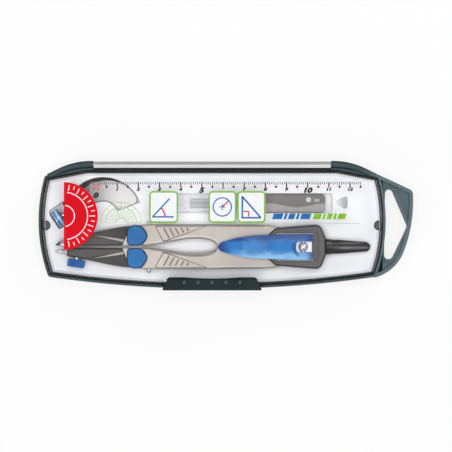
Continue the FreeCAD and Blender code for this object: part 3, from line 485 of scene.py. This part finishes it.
def knob_material():
    """Glossy blue knob: pale painted highlight bands round it with a dark line between them, and painted
    shade, navy, at its ends.
    """
    material, tree, shader = new_material("knob_gloss_blue")
    node = grain_node(tree, srgb("2f78bb"), srgb("2267aa"), 200.0, 1800.0, (0.1, 0.18))
    shares = []
    for axis, part in enumerate((math.cos(KNOB_TURN), math.sin(KNOB_TURN))):
        offset = math_node(tree, "ADD", object_axis(tree, axis), -KNOB_MIDDLE[axis] * MM)
        shares.append(math_node(tree, "MULTIPLY", offset, part))
    along = math_node(tree, "ADD", *shares)
    # Painted highlights: two pale bands round the knob; painted shade: navy at both ends.
    wide_highlight = stripe(tree, along, 0.55, 0.35, 0.8, 0.85)
    slim_highlight = stripe(tree, along, -1.05, 0.1, 0.4, 0.7)
    dark_line = stripe(tree, along, -0.45, 0.15, 0.35, 0.9)
    ends = ramp_value(tree, math_node(tree, "ABSOLUTE", along), 1.45 * MM, 1.7 * MM, 0.0, 1.0)
    colour = mix_colour(tree, math_node(tree, "MAXIMUM", wide_highlight, slim_highlight), node.outputs["Colour"], srgb("a9d4f2"))
    dark = math_node(tree, "MAXIMUM", dark_line, ends)
    dress(tree, shader, mix_colour(tree, dark, colour, srgb("0c2a58")), node)
    shader.inputs["Coat Weight"].default_value = 0.4
    return material


def latch_material():
    """Matt dark latch with painted highlights on its domes, paler towards their tops."""
    material, tree, shader = new_material("latch_matte")
    node = grain_node(tree, srgb("1b2a2b"), srgb("142223"), 60.0, 1600.0, (0.38, 0.5))
    # Painted highlight on the tops of the domes.
    dome_highlight = ramp_value(tree, object_axis(tree, Z), (DOME_TOP - 0.4) * MM, (DOME_TOP - 0.02) * MM, 0.0, 0.7)
    colour = mix_colour(tree, dome_highlight, node.outputs["Colour"], srgb("506163"))
    dress(tree, shader, colour, node, 0.08, (0.2, FINE_BUMP))
    return material


def grip_material():
    """Beige finger panel with painted shade, dark, on its raised ribs."""
    material, tree, shader = new_material("grip_panel")
    node = grain_node(tree, srgb("ccc4bc"), srgb("c3bab1"), 60.0, 2500.0, (0.4, 0.55))
    # Painted shade on the raised ribs.
    rib_shade = ramp_value(tree, object_axis(tree, Z), RIB_FOOT * MM, (RIB_FOOT + 0.1) * MM, 0.0, 1.0)
    colour = mix_colour(tree, rib_shade, node.outputs["Colour"], srgb("6b625b"))
    dress(tree, shader, colour, node, 0.25, (0.15, FINE_BUMP))
    return material


def stem_material():
    """Black handle with painted highlight streaks drawn out along it and painted shade on its sloping sides.
    """
    material, tree, shader = new_material("stem_black")
    node = grain_node(tree, srgb("2b2a2b"), srgb("1f1e1f"), 60.0, 2500.0, (0.2, 0.3))
    # Painted highlights: pale streaks drawn out along the stem.
    flow = stretched_noise(tree, (45.0, 620.0, 200.0), Detail=2.0)
    streak = ramp_value(tree, flow, 0.5, 0.72, 0.0, 0.8)
    colour = mix_colour(tree, streak, node.outputs["Colour"], srgb("858485"))
    # Painted shade on the stem's sloping sides.
    colour = mix_colour(tree, edge_mask(tree, 0.8, 0.35), colour, srgb("121112"))
    dress(tree, shader, colour, node, 0.12)
    return material


def stud_material():
    """Steel ball on a satin white seat: the seat lies below the ball's neck."""
    material, tree, shader = new_material("ball_and_seat")
    node = grain_node(tree, srgb("dfe2e6"), srgb("cfd3d9"), 200.0, 2500.0, (0.1, 0.2))
    high = ramp_value(tree, object_axis(tree, Z), SEAT_TOP * MM, (SEAT_TOP + 0.2) * MM, 0.0, 1.0)
    dress(tree, shader, mix_colour(tree, high, srgb("f4f5f7"), node.outputs["Colour"]), node)
    tree.links.new(high, shader.inputs["Metallic"])
    return material


def tray_material():
    """White tray with soft clouds, shaded towards the deep end of the thumb notch."""
    material, tree, shader = new_material("tray_white")
    node = grain_node(tree, srgb("f7f8fb"), srgb("f1f3f7"), 22.0, 900.0, (0.4, 0.5))
    along = object_axis(tree, X)
    across = object_axis(tree, Y)
    notch = math_node(tree, "LESS_THAN", object_axis(tree, Z), NOTCH_BELOW * MM)
    for value, (low, high) in ((along, NOTCH_X), (across, NOTCH_Y)):
        notch = math_node(tree, "MULTIPLY", notch, math_node(tree, "GREATER_THAN", value, low * MM))
        notch = math_node(tree, "MULTIPLY", notch, math_node(tree, "LESS_THAN", value, high * MM))
    deep = math_node(tree, "MULTIPLY", ramp_value(tree, along, 52.5 * MM, 57.2 * MM, 0.25, 0.85), notch)
    colour = mix_colour(tree, deep, node.outputs["Colour"], srgb("a0a2a8"))
    dress(tree, shader, colour, node, 0.3, (0.05, FINE_BUMP))
    return material


def tube_cap_material():
    """Cap of the lead case: brown-grey rear and paler front met in a sine wave, with a dark-edged window."""
    material, tree, shader = new_material("tube_cap_two_tone")
    node = grain_node(tree, srgb("6f6866"), srgb("625b5a"), 60.0, 1800.0, (0.35, 0.5))
    phase = math_node(tree, "MULTIPLY", object_axis(tree, X), 230.0)
    wave = math_node(tree, "MULTIPLY", math_node(tree, "SINE", phase), 0.9 * MM)
    level = math_node(tree, "ADD", object_axis(tree, Y), wave)
    front = ramp_value(tree, level, 9.2 * MM, 10.0 * MM, 1.0, 0.0)
    colour = mix_colour(tree, front, node.outputs["Colour"], srgb("a49f9f"))
    off_window = []
    for axis, (middle, half) in enumerate(zip(CAP_WINDOW, CAP_WINDOW_HALF)):
        off = off_middle(tree, object_axis(tree, axis), middle)
        off_window.append(math_node(tree, "SUBTRACT", off, half * MM))
    border = ramp_value(tree, math_node(tree, "MAXIMUM", *off_window), 0.2 * MM, 0.5 * MM, 0.8, 0.0)
    colour = mix_colour(tree, border, colour, srgb("4a4443"))
    dress(tree, shader, colour, node, 0.12, (0.12, FINE_BUMP))
    return material


# The edge colours given to plastic in this table are painted shade on rounded edges.
MATERIALS = {
    "case_dark": case_material(),
    "tray_white": tray_material(),
    "stud_dark": plastic("stud_slate", "4f5b5f", "3f4a4d", (0.3, 0.45), edge="121a1c"),
    "lid_clear": lid_material(),
    "steel": steel_material("turned_steel", "c6c7ca", "a9abb0", (0.28, 0.42)),
    "film_print": film_material(),
    "label_red": plastic("label_red", "d8061c", "ce041a", (0.3, 0.4), 50.0, 900.0, 0.04, specular=0.03),
    "latch_dark": latch_material(),
    "head_grey": plastic("head_grey", "585556", "4d4a4b", (0.3, 0.42), edge="1d1c1b", specular=0.15),
    "stem_black": stem_material(),
    "lever_blue": lever_material(),
    "leg_beige": plastic("leg_beige", "cac2ba", "c2b9b1", (0.3, 0.42), edge="7c7772"),
    "grip_grey": grip_material(),
    "cap_blue": plastic("cap_blue", "0c6bae", "0960a1", (0.2, 0.3), edge="0b2750", specular=0.1),
    "shank_grey": shank_material(),
    "graphite": plastic("graphite", "4d4d50", "38383b", (0.3, 0.45), 400.0, 4000.0, 0.2),
    "wheel_blue": plastic("wheel_blue", "2467b0", "164f96", (0.2, 0.3), 300.0, 1800.0, 0.1, specular=0.12),
    "adapter_dark": adapter_material(),
    "adapter_black": plastic("adapter_black", "242325", "19181a", (0.35, 0.5), edge="0d0d0e"),
    "tube_clear": clear_material("tube_clear", "d6d8dc", "9ea0a4", (0.05, 0.12), 0.07, 0.4),
    "cap_grey": tube_cap_material(),
}

OWN_MATERIALS = {
    "adapter_knob": knob_material(),
    "clamp_stud": stud_material(),
    # The rivet's edge colour is painted shade on its rounded edge.
    "cap_rivet": plastic("rivet_satin", "cfcbca", "bfbbba", (0.3, 0.4), edge="77716f"),
    "spare_leads": plastic("spare_graphite", "bdbec2", "b0b1b6", (0.3, 0.45), 400.0, 4000.0, 0.2,
                           specular=0.1),
}

for row in frame["record"]["subparts"]:
    mesh = nodes[row["node"]].data
    mesh.materials.clear()
    mesh.materials.append(OWN_MATERIALS.get(row["node"], MATERIALS[row["material_slot"]]))


# Printed and inlaid pieces

def put_mesh(name, points, faces, material, body, slot):
    """Mesh object from an array of points and faces, riding on a body."""
    mesh = bpy.data.meshes.new(name)
    mesh.from_pydata(np.asarray(points, float).tolist(), [], [list(map(int, f)) for f in faces])
    mesh.update()
    mesh.materials.append(material)
    piece = bpy.data.objects.new(name, mesh)
    bpy.context.scene.collection.objects.link(piece)
    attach(piece, body)


def mesh_points(mesh):
    """Points of a mesh as an array of rows."""
    points = np.empty(3 * len(mesh.vertices))
    mesh.vertices.foreach_get("co", points)
    return points.reshape(-1, 3)


def block_faces(count):
    """Six faces of each of a run of eight-point blocks."""
    one = np.array([(3, 2, 1, 0), (4, 5, 6, 7), (0, 1, 5, 4), (1, 2, 6, 5), (2, 3, 7, 6), (3, 0, 4, 7)])
    return (one[None] + 8 * np.arange(count)[:, None, None]).reshape(-1, 4)


def bars(rects, low, high):
    """Upright blocks over rectangles (x0, x1, y0, y1): the corners taken in order at both heights."""
    rects = np.asarray(rects, float) * MM
    flat = np.stack([rects[:, [0, 1, 1, 0]], rects[:, [2, 2, 3, 3]]], -1)
    levels = [np.concatenate([flat, np.full((len(rects), 4, 1), z)], -1) for z in (low, high)]
    return np.concatenate(levels, 1).reshape(-1, 3), block_faces(len(rects))


def band(outer, inner, low, high, closed, inner_high=None):
    """Ribbon between two lines of points, given a thickness; its top may slope down to the inner line."""
    count = len(outer)
    rings = []
    for line, z in ((outer, low), (inner, low), (inner, inner_high or high), (outer, high)):
        rings.append(np.column_stack([np.asarray(line) * MM, np.full(count, z)]))
    points = np.concatenate(rings)
    last = count if closed else count - 1
    i = np.arange(last)
    j = (i + 1) % count
    faces = []
    for a, b in ((0, 1), (1, 2), (2, 3), (3, 0)):
        faces.append(np.column_stack([a * count + i, a * count + j, b * count + j, b * count + i]))
    faces = np.concatenate(faces).tolist()
    if not closed:
        ends = [count * k for k in range(4)]
        faces.append(ends)
        faces.append([e + count - 1 for e in reversed(ends)])
    return points, faces


def arc(centre, radius, first, last, count=64):
    """Points on a circle from one angle to another, in degrees."""
    angle = np.radians(np.linspace(first, last, count))
    return np.column_stack([centre[0] + radius * np.cos(angle), centre[1] + radius * np.sin(angle)])


def on_circle(centre, radius, degree):
    """Point on a circle at an angle in degrees."""
    turn = math.radians(degree)
    return np.array(centre) + radius * np.array([math.cos(turn), math.sin(turn)])


def round_loop(x0, x1, y0, y1, radius):
    """Closed loop of a rectangle whose corners are quarter circles."""
    parts = []
    for cx, cy, first in ((x1 - radius, y1 - radius, 0), (x0 + radius, y1 - radius, 90),
                          (x0 + radius, y0 + radius, 180), (x1 - radius, y0 + radius, 270)):
        parts.append(arc((cx, cy), radius, first, first + 90, 10))
    return np.concatenate(parts)


def plate(loop, low, high):
    """Thin solid plate over a closed loop."""
    count = len(loop)
    flat = np.asarray(loop) * MM
    points = np.concatenate([np.column_stack([flat, np.full(count, z)]) for z in (low, high)])
    i = np.arange(count)
    j = (i + 1) % count
    sides = np.column_stack([i, j, count + j, count + i]).tolist()
    return points, [list(range(count))[::-1], list(range(count, 2 * count))] + sides


def joined(*pieces):
    """Several point-and-face sets as one."""
    points, faces, start = [], [], 0
    for some, links in pieces:
        points.append(some)
        faces += [[int(k) + start for k in f] for f in links]
        start += len(some)
    return np.concatenate(points), faces


NUMBER_STRETCH = np.array([1.3, 1.0, 1.0])
NUMBER_BOLD = 0.07


def lettering(text, size, shear, x, y, low, high):
    """Number set in the plain built-in face, slanted by a shear and widened, middle at a point."""
    curve = bpy.data.curves.new("number", "FONT")
    curve.body = text
    curve.size = size * MM
    curve.shear = shear
    curve.align_x = "CENTER"
    curve.align_y = "CENTER"
    curve.offset = NUMBER_BOLD * size * MM
    curve.extrude = 0.5 * (high - low)
    holder = bpy.data.objects.new("number", curve)
    bpy.context.scene.collection.objects.link(holder)
    bpy.context.view_layer.update()
    mesh = bpy.data.meshes.new_from_object(holder.evaluated_get(bpy.context.evaluated_depsgraph_get()))
    points = mesh_points(mesh) * NUMBER_STRETCH + np.array([x * MM, y * MM, 0.5 * (low + high)])
    faces = [list(p.vertices) for p in mesh.polygons]
    bpy.data.objects.remove(holder)
    bpy.data.curves.remove(curve)
    bpy.data.meshes.remove(mesh)
    return points, faces


INK = {
    name: plastic("ink_" + name, base, shade, (0.4, 0.5), 300.0, 3000.0, 0.05, specular=0.1)
    for name, base, shade in (
        ("black", "232325", "19191b"), ("pink", "f5c4ca", "efb4bc"), ("green", "82b92a", "74ab20"),
        ("pale_green", "a3c963", "96be54"), ("red", "dd2a26", "cf1d1d"), ("blue", "1d6fb2", "155f9f"),
        ("grey", "5b595f", "4f4d53"), ("shadow", "c3c4c9", "b8b9bf"), ("white", "eaecef", "e4e6ea"))
}


def round_dot(centre, radius):
    """Round printed dot."""
    return plate(arc(centre, radius, 0, 345, 24), LOW, HIGH)


def arc_stroke(centre, outer, inner, first, last, low=LOW, count=64):
    """Printed stroke along a circle, between two radii and two angles in degrees."""
    edges = [arc(centre, radius, first, last, count) for radius in (outer, inner)]
    return band(*edges, low, HIGH, False)


def slanted_bar(x0, y0, x1, y1, half, low=LOW):
    """Straight printed stroke of one width between two points."""
    along = np.array([x1 - x0, y1 - y0], float)
    side = np.array([-along[1], along[0]]) / np.linalg.norm(along) * half
    ends = np.array([[x0, y0], [x1, y1]], float)
    return band(ends + side, ends - side, low, HIGH, False)


def scale_ticks(whole):
    """Strokes hanging from the top edge of the film: centimetres if whole, else millimetres."""
    step = np.arange(1, SCALE_STEPS + 1)
    step = step[(step % 10 == 0) == whole]
    x = ZERO_X + step
    half = 0.3 if whole else 0.19
    length = np.select([step % 10 == 0, step % 5 == 0, step % 2 == 0], [2.5, 1.5, 1.3], 1.0)
    rects = np.column_stack([x - half, x + half, SCALE_TOP - length, np.full(len(x), SCALE_TOP)])
    return bars(rects, LOW, HIGH)


def scale_dots():
    """Round dots that mark the half centimetres."""
    return joined(*[round_dot((ZERO_X + 5 + 10 * i, DOT_ROW), 0.55) for i in range(13)])


def scale_numbers():
    """Numbers of the scale; every fifth is larger."""
    pieces = []
    for i in range(13):
        large = i % 5 == 0
        y = 14.1 if i == 0 else (16.5 if large else 17.0)
        size = 3.2 if large else 2.0
        pieces.append(lettering(str(i), size, 0.25, ZERO_X + 10 * i - 0.1 * size, y, LOW, HIGH))
    return joined(*pieces)


def zero_target():
    """Broken ring and dot around the zero of the scale."""
    centre = (ZERO_X, DOT_ROW)
    ring = [arc_stroke(centre, 1.75, 1.15, first, first + 50, count=12) for first in (20, 110, 200, 290)]
    return joined(*ring, round_dot(centre, 0.4))


def put_print(name, shape, ink):
    """Printed piece on the film."""
    put_mesh(name, *shape, INK[ink], "lid", "film_print")


put_print("scale_centimetres", scale_ticks(True), "black")
put_print("scale_millimetres", scale_ticks(False), "grey")
put_print("scale_dots", scale_dots(), "black")
put_print("scale_numbers", scale_numbers(), "black")
put_print("scale_target", zero_target(), "red")
row_line = (ZERO_X + 2.2, FILM_END, DOT_ROW - 0.08, DOT_ROW + 0.08)
put_print("scale_line", bars([row_line], LOW - 0.01 * MM, THIN), "pink")

for index, (x0, x1) in enumerate(FRAMES):
    outer = round_loop(x0, x1, FRAME_LOW, FRAME_HIGH, 1.9)
    inner = round_loop(x0 + FRAME_WIDTH, x1 - FRAME_WIDTH,
                       FRAME_LOW + FRAME_WIDTH, FRAME_HIGH - FRAME_WIDTH, 1.2)
    put_print("frame_%d" % index, band(outer, inner, LOW, HIGH, True), "green")
    put_print("panel_%d" % index, plate(inner, LOW, THIN), "white")


def sign_strokes():
    """Drawing signs inside the frames: an angle, a circle on its centre, a set square."""
    angle = joined(slanted_bar(*ANGLE_TIP, -24.6, 4.0, 0.35, THIN),
                   slanted_bar(*ANGLE_TIP, -26.6, 12.6, 0.35, THIN))
    ring = [arc(CIRCLE_MIDDLE, radius, 0, 356, 90) for radius in (4.6, 4.0)]
    circle = joined(band(*ring, THIN, HIGH, True),
                    slanted_bar(-3.2, 8.7, -0.1, 8.7, 0.2, THIN),
                    slanted_bar(-1.65, 7.15, -1.65, 10.25, 0.2, THIN))
    square = joined(slanted_bar(7.4, 3.6, 16.6, 3.6, 0.4, THIN),
                    slanted_bar(7.8, 3.6, 7.8, 13.8, 0.4, THIN),
                    slanted_bar(7.8, 13.6, 16.4, 3.8, 0.4, THIN))
    return joined(angle, circle, square)


def sign_accents():
    """Red arc of the angle, radius of the circle and corner mark of the set square."""
    return joined(arc_stroke(ANGLE_TIP, 6.2, 5.5, 2, 45, THIN, 24),
                  slanted_bar(*CIRCLE_MIDDLE, 1.2, 11.5, 0.32, THIN),
                  slanted_bar(8.3, 6.6, 10.8, 6.6, 0.3, THIN),
                  slanted_bar(10.8, 6.6, 10.8, 4.1, 0.3, THIN))


def half_round_lines():
    """Pale half-round angle scale: arcs about one centre with strokes every fifteen degrees."""
    centre = (-49.5, 1.3)
    outer, middle, hub = 9.6, 7.4, 2.2
    pieces = [arc_stroke(centre, radius + 0.14, radius - 0.14, 2, 178) for radius in (outer, middle, hub)]
    for degree in range(0, 181, 15):
        end = outer if degree % 45 == 0 else middle
        pieces.append(slanted_bar(*on_circle(centre, hub, degree), *on_circle(centre, end, degree), 0.1))
    return joined(*pieces)


def slanted_dashes(left, widths, gap):
    """Row of slanted dashes: each a parallelogram of its own width, all leaning the same way."""
    start = left + np.concatenate([[0.0], np.cumsum(np.array(widths) + gap)[:-1]])
    lean = 0.9
    low_y, high_y = 2.9, 5.6
    pieces = []
    for x, w in zip(start, widths):
        loop = [(x, low_y), (x + w, low_y), (x + w + lean, high_y), (x + lean, high_y)]
        pieces.append(plate(np.array(loop), LOW, HIGH))
    return joined(*pieces)


put_print("sign_strokes", sign_strokes(), "blue")
put_print("sign_accents", sign_accents(), "red")
put_print("angle_scale", half_round_lines(), "pale_green")
put_print("dashes_blue", slanted_dashes(21.8, [4.6, 1.2, 3.0, 1.2, 4.6], 0.8), "blue")
put_print("dashes_green", slanted_dashes(41.0, [3.6, 1.2, 2.4, 1.2, 3.6], 0.8), "green")
put_print("film_edge", bars([(20.5, FILM_END, 0.75, 1.1)], LOW, THIN), "shadow")


def label_marks():
    """White degree strokes along the round edge of the label with two arcs inside."""
    pieces = []
    for degree in range(-80, 81, 10):
        start = on_circle(LABEL_MIDDLE, 12.0 if degree % 20 == 0 else 13.1, degree)
        pieces.append(slanted_bar(*start, *on_circle(LABEL_MIDDLE, 14.8, degree), 0.21))
    for radius in (11.2, 5.0):
        pieces.append(arc_stroke(LABEL_MIDDLE, radius + 0.22, radius - 0.22, -82, 82))
    return joined(*pieces)


put_mesh("label_marks", *label_marks(), INK["white"], "lid", "label_red")


def head_beads():
    """Narrow raised bead round the lever's bed on the head, toned dark as painted shade along the bed's edge:
    a U of one width, open to the left.
    """
    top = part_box("head_yoke")[1].z - 0.02 * MM
    open_x, corner_x, half_bed = 23.6, 42.6, 5.35
    lines = []
    for radius in (1.5, 1.2):
        rear = arc((corner_x, COMPASS_Y + half_bed), radius, 90, 0, 12)
        front = arc((corner_x, COMPASS_Y - half_bed), radius, 0, -90, 12)
        lines.append(np.concatenate([[(open_x, rear[0, 1])], rear, front, [(open_x, front[-1, 1])]]))
    return band(*lines, top, top + 0.12 * MM, False)


def head_glints():
    """Two pale flat strips between the bead and the lever: painted highlights."""
    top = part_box("head_yoke")[1].z - 0.02 * MM
    start, end, near, far = 24.2, 41.6, 6.2, 6.48
    rear = (start, end, COMPASS_Y + near, COMPASS_Y + far)
    front = (start, end, COMPASS_Y - far, COMPASS_Y - near)
    return bars([rear, front], top, top + 0.1 * MM)


# Painted shade for the bead round the lever's bed, painted highlights for the two pale strips.
BEAD_SHADE = plastic("bead_shade", "2b2928", "211f1e", (0.3, 0.4))
STRIP_HIGHLIGHT = plastic("strip_highlight", "c9c5c1", "bbb7b3", (0.3, 0.4))
put_mesh("head_beads", *head_beads(), BEAD_SHADE, "base", "head_grey")
put_mesh("head_glints", *head_glints(), STRIP_HIGHLIGHT, "base", "head_grey")


def side_of(name):
    """Which side of the compass axis a piece lies on: 1 towards the hinge, -1 towards the latch."""
    low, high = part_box(name)
    return 1.0 if 0.5 * (low.y + high.y) > COMPASS_Y * MM else -1.0


def rim_line(name, xs, outer):
    """Rim of a leg's flat top in plan: at each x the outermost or innermost crossing of its edges."""
    mesh = nodes[name].data
    points = mesh_points(mesh) / MM
    links = np.empty(2 * len(mesh.edges), np.int32)
    mesh.edges.foreach_get("vertices", links)
    links = links.reshape(-1, 2)
    level = points[:, 2] > points[:, 2].max() - 0.01
    links = links[level[links].all(1)]
    first, last = points[links[:, 0]], points[links[:, 1]]
    before, after = first[:, 0] - xs[:, None], last[:, 0] - xs[:, None]
    cross = before * after < 0
    share = before / np.where(cross, before - after, np.inf)
    side = side_of(name)
    y = side * (first[:, 1] + share * (last[:, 1] - first[:, 1]))
    y = np.where(cross, y, -np.inf).max(1) if outer else np.where(cross, y, np.inf).min(1)
    return np.column_stack([xs, side * y]), side


def rim_offset(name, xs, outer):
    """Rim of a leg and the unit steps square to it, which point from the rim into the leg's top."""
    line, side = rim_line(name, xs, outer)
    run = np.gradient(line, axis=0)
    square = np.column_stack([-run[:, 1], run[:, 0]]) / np.linalg.norm(run, axis=1)[:, None]
    return line, square * (-side if outer else side)


# Where the rims of the legs are taken, in millimetres: the eye's places lie closer towards its right end
EYE_SHARE = np.linspace(1.0, 0.0, 90)
EYE_XS = -4.65 - 31.8 * EYE_SHARE ** 2.2
OUTER_XS = np.linspace(-33.0, 18.0, 60)


def rim_strip(name, xs, outer, near, far):
    """Flat strip on a leg's top between two distances from its rim, laid off square to the rim."""
    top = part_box(name)[1].z
    line, inward = rim_offset(name, xs, outer)
    return band(line + near * inward, line + far * inward, top - 0.01 * MM, top + 0.02 * MM, False)


def eye_wall(name):
    """Bevelled inner wall of a leg's eye: it slopes from the rim into the opening, deepest halfway along."""
    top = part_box(name)[1].z
    line, inward = rim_offset(name, EYE_XS, False)
    depth = 0.62 + 1.2 * np.sin(np.pi * EYE_SHARE) ** 0.8
    room = np.abs(line[:, 1] - COMPASS_Y) - 0.35
    depth = np.minimum(depth, np.maximum(room, 0.5))[:, None]
    rim, foot = line - 0.4 * inward, line - depth * inward
    return band(rim, foot, top - 5.0 * MM, top - 0.5 * MM, False, top - 2.4 * MM)


PANEL_OUTER = np.array([(-33.9, -0.25), (-29.7, -8.0), (-8.6, -0.25)])
PANEL_INNER = np.array([(-33.5, -0.5), (-29.55, -7.5), (-9.6, -0.5)])
CORNER_CUT = 1.1


def grip_lines(name):
    """Painted shadow line round a finger panel, standing for the shade in its gap: between two triangles
    whose corners are quadratic curves.
    """
    side = side_of(name)
    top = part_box(name)[1].z
    loops = []
    for shape in (PANEL_OUTER, PANEL_INNER):
        parts = []
        for k in range(3):
            a, b, c = shape[k - 1], shape[k], shape[(k + 1) % 3]
            near = b + (a - b) / np.linalg.norm(a - b) * CORNER_CUT
            far = b + (c - b) / np.linalg.norm(c - b) * CORNER_CUT
            share = np.linspace(0, 1, 9)[:, None]
            parts.append((1 - share) ** 2 * near + 2 * share * (1 - share) * b + share ** 2 * far)
        loop = np.concatenate(parts)
        if side < 0:
            loop[:, Y] = 2 * COMPASS_Y - loop[:, Y]
        loops.append(loop)
    return band(*loops, top - 0.01 * MM, top + 0.03 * MM, True)


# Lit and shaded copies of the legs' beige: painted shade on the rims and the eye's wall, painted highlights
# beside them, and a painted shadow line round the finger panels.
RIM_SHADE = plastic("rim_shade", "6f6b67", "65615d", (0.35, 0.45))
WALL_SHADE = plastic("wall_shade", "bab8b5", "adaba8", (0.35, 0.45))
PALE_HIGHLIGHT = plastic("pale_highlight", "f1eeea", "e8e4e0", (0.35, 0.45))
EDGE_SHADE = plastic("edge_shade", "6f6a66", "645f5b", (0.35, 0.45))
LINE_SHADOW = plastic("line_shadow", "574e48", "4b433e", (0.4, 0.5))


def put_on_leg(leg, ending, shape, tone):
    """Piece on a leg of the compass, named after it."""
    put_mesh(leg + ending, *shape, tone, leg, "leg_beige")


# Painted shade along each leg's eye rim and outer rim, the painted shadow line round its panel, then painted
# highlights and the shaded eye wall.
for leg in ("lead_leg", "needle_leg"):
    put_on_leg(leg, "_eye_rim", rim_strip(leg, EYE_XS, False, 0.0, 0.25), RIM_SHADE)
    put_on_leg(leg, "_outer_rim", rim_strip(leg, OUTER_XS, True, 0.0, 0.3), EDGE_SHADE)
    put_on_leg(leg, "_panel_line", grip_lines(leg), LINE_SHADOW)
put_on_leg("lead_leg", "_eye_light", rim_strip("lead_leg", EYE_XS, False, 0.3, 0.65), PALE_HIGHLIGHT)
put_on_leg("needle_leg", "_eye_wall", eye_wall("needle_leg"), WALL_SHADE)
put_on_leg("needle_leg", "_outer_light", rim_strip("needle_leg", OUTER_XS, True, 0.32, 0.6), PALE_HIGHLIGHT)


# Studio, in metres

FLOOR_HALF = 3.0
FLOOR_HEIGHT = -0.0002
MIRRORED_GLOW = 0.6
LENS = 200.0
SENSOR = 36.0
VIEW_WIDTH = 0.2146
VIEW_HEIGHT = 0.018
LAMPS = (
    ("front", (-0.2, -0.32, 1.6), 0.4, 4.8),
    ("back", (0.2, 0.32, 1.6), 0.4, 4.35),
    ("left", (-0.34, 0.18, 1.6), 0.4, 3.97),
    ("right", (0.34, -0.18, 1.6), 0.4, 3.97),
    ("low_front", (-1.1, -1.1, 0.7), 0.6, 5.0),
    ("low_back", (1.1, 1.1, 0.7), 0.6, 5.0),
)


def seen_white(tree):
    """Share of its white that a backdrop shows: all to the camera and through clear pieces, less mirrored."""
    path = tree.nodes.new("ShaderNodeLightPath")
    mirrored = math_node(tree, "MULTIPLY", path.outputs["Is Glossy Ray"], MIRRORED_GLOW)
    direct = math_node(tree, "MAXIMUM", path.outputs["Is Camera Ray"], path.outputs["Is Transmission Ray"])
    return math_node(tree, "MAXIMUM", direct, mirrored)


def studio_floor():
    """Pale floor: a broad flat sheet just under the case, which glows where the camera sees it."""
    mesh = bpy.data.meshes.new("studio_floor")
    signs = ((-1, -1), (1, -1), (1, 1), (-1, 1))
    mesh.from_pydata([(x * FLOOR_HALF, y * FLOOR_HALF, FLOOR_HEIGHT) for x, y in signs], [], [(0, 1, 2, 3)])
    material, tree, shader = new_material("studio_floor")
    node = grain_node(tree, (0.88, 0.88, 0.88, 1), (0.86, 0.86, 0.86, 1), 3.0, 60.0, (0.7, 0.8))
    dress(tree, shader, node.outputs["Colour"], node, 0.1)
    glow = add_node(tree, "ShaderNodeEmission", Color=(1, 1, 1, 1), Strength=1.0)
    blend_surface(tree, math_node(tree, "MULTIPLY", seen_white(tree), 0.8), shader, glow)
    mesh.materials.append(material)
    floor = bpy.data.objects.new("studio_floor", mesh)
    bpy.context.scene.collection.objects.link(floor)


def studio_world():
    """Even soft light from all round; the camera sees plain white."""
    world = bpy.data.worlds.new("studio")
    bpy.context.scene.world = world
    world.use_nodes = True
    tree = world.node_tree
    ground = tree.nodes["Background"]
    tree.links.new(math_node(tree, "MAXIMUM", seen_white(tree), 0.36), ground.inputs["Strength"])
    ground.inputs["Color"].default_value = (1, 1, 1, 1)


def soft_lamp(name, place, size, power):
    """Square soft lamp aimed at the middle of the case."""
    lamp = bpy.data.lights.new(name, "AREA")
    lamp.size = size
    lamp.energy = power
    holder = bpy.data.objects.new(name, lamp)
    bpy.context.scene.collection.objects.link(holder)
    holder.location = place
    holder.rotation_euler = (Vector((0, 0, 0.01)) - Vector(place)).to_track_quat("-Z", "Y").to_euler()


def top_camera():
    """Long lens straight above the case, as the photograph is taken."""
    camera = bpy.data.cameras.new("camera")
    camera.lens = LENS
    camera.sensor_width = SENSOR
    holder = bpy.data.objects.new("camera", camera)
    bpy.context.scene.collection.objects.link(holder)
    holder.location = (0.0001, -0.0003, VIEW_HEIGHT + VIEW_WIDTH * LENS / SENSOR)
    bpy.context.scene.camera = holder


studio_floor()
studio_world()
for lamp in LAMPS:
    soft_lamp(*lamp)
top_camera()
bpy.context.scene.view_settings.view_transform = "Standard"
bpy.context.scene.cycles.transparent_max_bounces = 32
